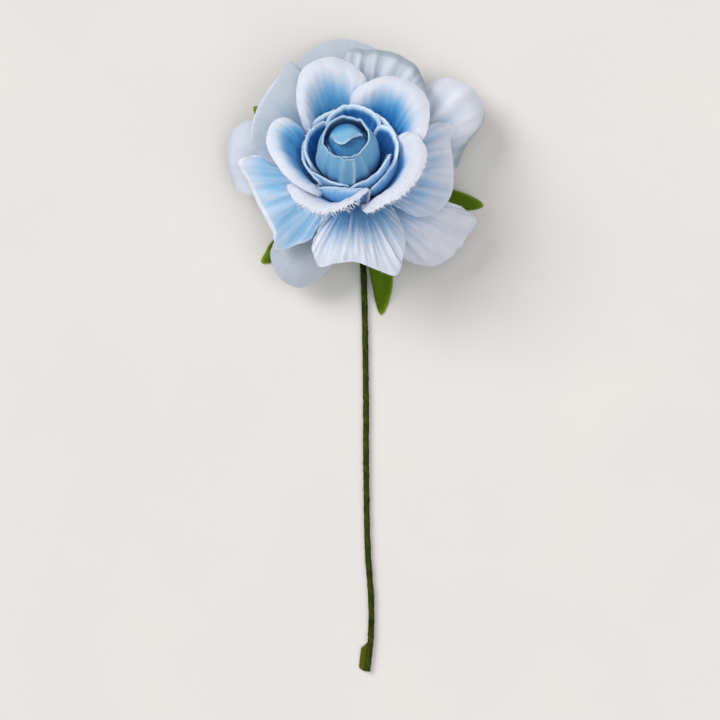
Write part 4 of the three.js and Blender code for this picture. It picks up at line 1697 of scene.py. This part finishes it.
@dataclass
class Stem:
    """The wire that carries the head, and the paper tape wound round it."""

    SWAY = ((2.1, -83.0), (2.7, -77.6), (2.8, -71.0), (2.2, -62.0), (1.9, -44.7), (1.9, -36.0), (1.4, -12.6))

    neck_length: float = 2.0
    tape_stop: float = CLOTH_THICKNESS / 2 + CLEARANCE + GLUE_GAP
    wire_reach: float = 12.0
    wrap_pitch: float = 4.2
    wrap_step: float = 0.05
    wire_sides: int = 18
    wire_rows: int = 150
    cap_share: float = 0.8
    cap_dome: float = 0.03
    cap_shoulder: float = 0.02
    tape_sides: int = 28
    tape_rows: int = 620
    bore_step: int = 40
    crinkle: float = 0.03
    tail_length: float = 5.2
    tail_width: float = 1.3
    tail_thickness: float = 0.2
    tail_shoulder: float = 1.4
    tail_standoff: float = 0.14

    def stations(self, top: float, count: int) -> tuple[np.ndarray, np.ndarray]:
        """Places along the stem's line and their directions.

        Args:
            top: how far up the head's axis the line ends, from the foot.
            count: how many spans.

        Returns:
            Places and directions, one a row.
        """
        on_table = np.array([[x, y, TAPE_RADIUS] for x, y in self.SWAY])
        neck = FOOT - HEAD_AXIS * self.neck_length
        corner = FOOT + HEAD_AXIS * (TAPE_RADIUS - FOOT[2]) / HEAD_AXIS[2]
        back = unit(on_table[-1] - corner) * np.linalg.norm(neck - corner)
        run = Spline(np.vstack([on_table, corner + back]))
        t = np.linspace(0, 1, 60)[:, None]
        bend = (corner + back) * (1 - t) ** 2 + 2 * corner * t * (1 - t) + neck * t * t
        end = FOOT + HEAD_AXIS * top
        line = np.vstack([run.at(np.linspace(0, 1, 400)), bend[1:], end[None, :]])
        lengths = np.concatenate([[0], np.linalg.norm(np.diff(line, axis=0), axis=1).cumsum()])
        at = np.linspace(0, lengths[-1], count + 1)
        places = np.stack([np.interp(at, lengths, line[:, k]) for k in range(3)], 1)
        return places, unit(np.gradient(places, axis=0))

    def tube(self, places: np.ndarray, directions: np.ndarray, radii: np.ndarray, sides: int) -> np.ndarray:
        """The corners of a tube.

        Args:
            places: the stations.
            directions: which way the tube runs at each.
            radii: a radius for each corner, sides by stations.
            sides: how many sides.

        Returns:
            Sides by stations by 3.
        """
        up = unit(np.cross([1.0, 0.0, 0.0], directions))
        across = np.cross(directions, up)
        around = np.linspace(0, 2 * np.pi, sides + 1)[:, None, None]
        return places + radii[..., None] * (np.cos(around) * across + np.sin(around) * up)

    def wire(self) -> bpy.types.Object:
        """The steel wire, with its cut end closed by a slightly domed face.

        Returns:
            The finished piece.
        """
        places, directions = self.stations(self.wire_reach, self.wire_rows)
        order = [0, 0, *range(self.wire_rows + 1), self.wire_rows, self.wire_rows]
        radii = np.full((self.wire_sides + 1, len(order)), WIRE_RADIUS)
        radii[:, [1, -2]] *= self.cap_share
        radii[:, [0, -1]] = 0
        corners = self.tube(places[order], directions[order], radii, self.wire_sides)
        corners[:, 0] -= directions[0] * self.cap_dome
        corners[:, 1] -= directions[0] * self.cap_shoulder
        piece = grid_piece("wire_core", corners)
        merge_seams(piece, flip=False)
        piece.data.materials.append(CutSteel().material())
        smooth(piece, 50)
        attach(piece, BODY)
        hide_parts("stem_wire")
        return piece

    def tape(self) -> bpy.types.Object:
        """The wound tape with its folded tail.

        Returns:
            The finished piece.
        """
        count, sides = self.tape_rows, self.tape_sides
        places, directions = self.stations(-self.tape_stop, count)
        length = np.linalg.norm(np.diff(places, axis=0), axis=1).sum()
        run = np.linspace(0, length, count + 1)[None, :]
        around = np.linspace(0, 1, sides + 1)[:, None]
        wrap = (run / self.wrap_pitch - around) % 1
        step = self.wrap_step * (np.exp(-wrap * 5) - 0.35)
        wrinkle = 0.02 * np.sin(2 * np.pi * (around * 3 + 4 * ripple(run / length, 90, 811)))
        wrinkle = wrinkle + self.crinkle * ripple(run / length, 160, 813)
        outer = TAPE_RADIUS - self.crinkle + step + wrinkle
        bore = [*range(count, 0, -self.bore_step), 0]
        order = [*range(count + 1), *bore, 0]
        radii = np.concatenate([outer, np.full((sides + 1, len(bore)), TAPE_BORE_RADIUS), outer[:, :1]], 1)
        radii[-1] = radii[0]
        corners = self.tube(places[order], directions[order], radii, sides)
        piece = grid_piece("wound_tape", corners)
        plain = np.zeros((sides + 1, len(bore) + 1, 3))
        level = 0 * run + 0 * around
        grain = np.stack([around * 3.4 + level, run * 0.7 + around * 2, level], -1)
        keep_values(piece, "crest", np.concatenate([np.exp(-wrap * 9), plain[..., 0]], 1))
        keep_values(piece, "grain", np.concatenate([grain, plain], 1))
        merge_seams(piece, flip=False)
        piece.data.materials.append(WoundTape("stem_tape_paper", (30, 42, 0), (72, 86, 10)).material())
        smooth(piece, 40)
        piece = joined([piece, self.tail(places[0], directions[0])])
        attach(piece, BODY)
        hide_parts("stem_tape")
        log.info("%s: %.1f mm of stem", piece.name, length)
        return piece

    def tail(self, end: np.ndarray, direction: np.ndarray) -> bpy.types.Object:
        """The tape's loose end, a flat tab folded back beside the cut end of the wire.

        Args:
            end: the middle of the wire's cut end.
            direction: which way the stem runs from there.

        Returns:
            The tab.
        """
        columns, rows = 12, 34
        u = np.linspace(0, 1, columns + 1)[:, None]
        v = np.linspace(0, 1, rows + 1)[None, :]
        reach = v * self.tail_length
        rounded = np.sqrt(np.clip(1 - (1 - np.clip(reach / 0.7, 0, 1)) ** 2, 0.05, 1))
        slanted = np.clip((self.tail_length - reach) / self.tail_shoulder, 0.02, 1)
        wide = self.tail_width * np.minimum(rounded, slanted)
        across = np.cross([0.0, 0.0, 1.0], direction)
        wall = (TAPE_RADIUS + TAPE_BORE_RADIUS) / 2
        height = TAPE_RADIUS - self.tail_standoff - end[2]
        sag = 0.16 * np.sin(np.pi * v) * u ** 2 + 0.06 * np.sin(9 * v + 3 * u) * u
        places = (end + direction * reach[..., None]
                  + unit(across) * (wall + (u * (wide - wall * 0.4)) - wall * 0.2)[..., None]
                  + np.array([0, 0, 1.0]) * (height + sag - 0.12 * u)[..., None])
        piece = grid_piece("tape_tail", places)
        keep_values(piece, "crest", 0.6 * u + 0 * v)
        keep_values(piece, "grain", np.stack([u * 2 + 0 * v, v * 6 + 0 * u, 0 * u + 0 * v], -1))
        merge_seams(piece, flip=False)
        piece.data.materials.append(WoundTape("tape_tail_paper", (56, 64, 0), (92, 100, 6)).material())
        thicken(piece, self.tail_thickness)
        smooth(piece, 50)
        return piece


@dataclass
class Studio:
    """A pale paper floor, soft daylight from the upper left and a camera that looks straight down."""

    view_centre: tuple[float, float] = (0.933, -0.597)
    view_width: float = 124.9
    camera_height: float = 450.0
    sensor: float = 36.0
    floor_size: float = 1500.0
    paper_dark: Colour = (229, 227, 225)
    paper_light: Colour = (233, 231, 228)
    window_strength: float = 1.9
    window_from: tuple[float, float, float] = (-0.62, 0.42, 0.66)
    window_spread: float = 34.0
    ceiling_strength: float = 1.4
    ceiling_from: tuple[float, float, float] = (0.22, -0.16, 1.0)
    ceiling_spread: float = 70.0
    sky_strength: float = 0.2

    def camera(self) -> None:
        """The camera, over the middle of the view, with the stem towards the bottom."""
        data = bpy.data.cameras.new("camera")
        data.sensor_width = self.sensor
        data.lens = self.sensor * self.camera_height / self.view_width
        data.clip_start, data.clip_end = 0.01, 10
        camera = bpy.data.objects.new("camera", data)
        x, y = self.view_centre
        camera.location = (x * MM, y * MM, self.camera_height * MM)
        bpy.context.collection.objects.link(camera)
        bpy.context.scene.camera = camera

    def floor(self) -> None:
        """A sheet of pale paper."""
        deselect()
        bpy.ops.mesh.primitive_plane_add(size=self.floor_size * MM)
        floor = bpy.context.active_object
        floor.name = floor.data.name = "paper_floor"
        shader = Shader("pale_paper")
        tone = shader.noise(35.0, 4.0)
        colour = shader.colours(tone, [(0.3, self.paper_dark), (0.7, self.paper_light)])
        floor.data.materials.append(shader.finish(colour, None, 0.9, Specular_IOR_Level=0.1))

    def light(self) -> None:
        """Daylight from a window, softer light from a pale ceiling, and an even sky."""
        lamps = (("window", self.window_strength, self.window_spread, self.window_from),
                 ("ceiling", self.ceiling_strength, self.ceiling_spread, self.ceiling_from))
        for name, strength, spread, from_side in lamps:
            data = bpy.data.lights.new(name, "SUN")
            data.energy = strength
            data.angle = math.radians(spread)
            data.color = (1.0, 0.985, 0.96)
            lamp = bpy.data.objects.new(name, data)
            lamp.rotation_euler = Vector(from_side).to_track_quat("Z", "Y").to_euler()
            bpy.context.collection.objects.link(lamp)
        world = bpy.data.worlds.new("sky")
        world.use_nodes = True
        sky = world.node_tree.nodes["Background"]
        sky.inputs["Color"].default_value = (0.95, 0.97, 1.0, 1.0)
        sky.inputs["Strength"].default_value = self.sky_strength
        bpy.context.scene.world = world
        bpy.context.scene.view_settings.view_transform = "Standard"


def main() -> None:
    """Builds the studio and the rose, piece by piece."""
    logging.basicConfig(level=logging.INFO, format="%(name)s: %(message)s")
    studio = Studio()
    studio.camera()
    studio.floor()
    studio.light()
    stem = Stem()
    for piece in (stem.wire(), stem.tape()):
        log.info("built %s", piece.name)
    for sheet in (CALYX, BACK_PETALS, FRONT_PETALS, CURLED_PETALS, CUP_PETALS, INNER_PETALS):
        log.info("built %s", sheet.build().name)
    log.info("built %s", BudRoll().build().name)


if __name__ == "__main__":
    main()
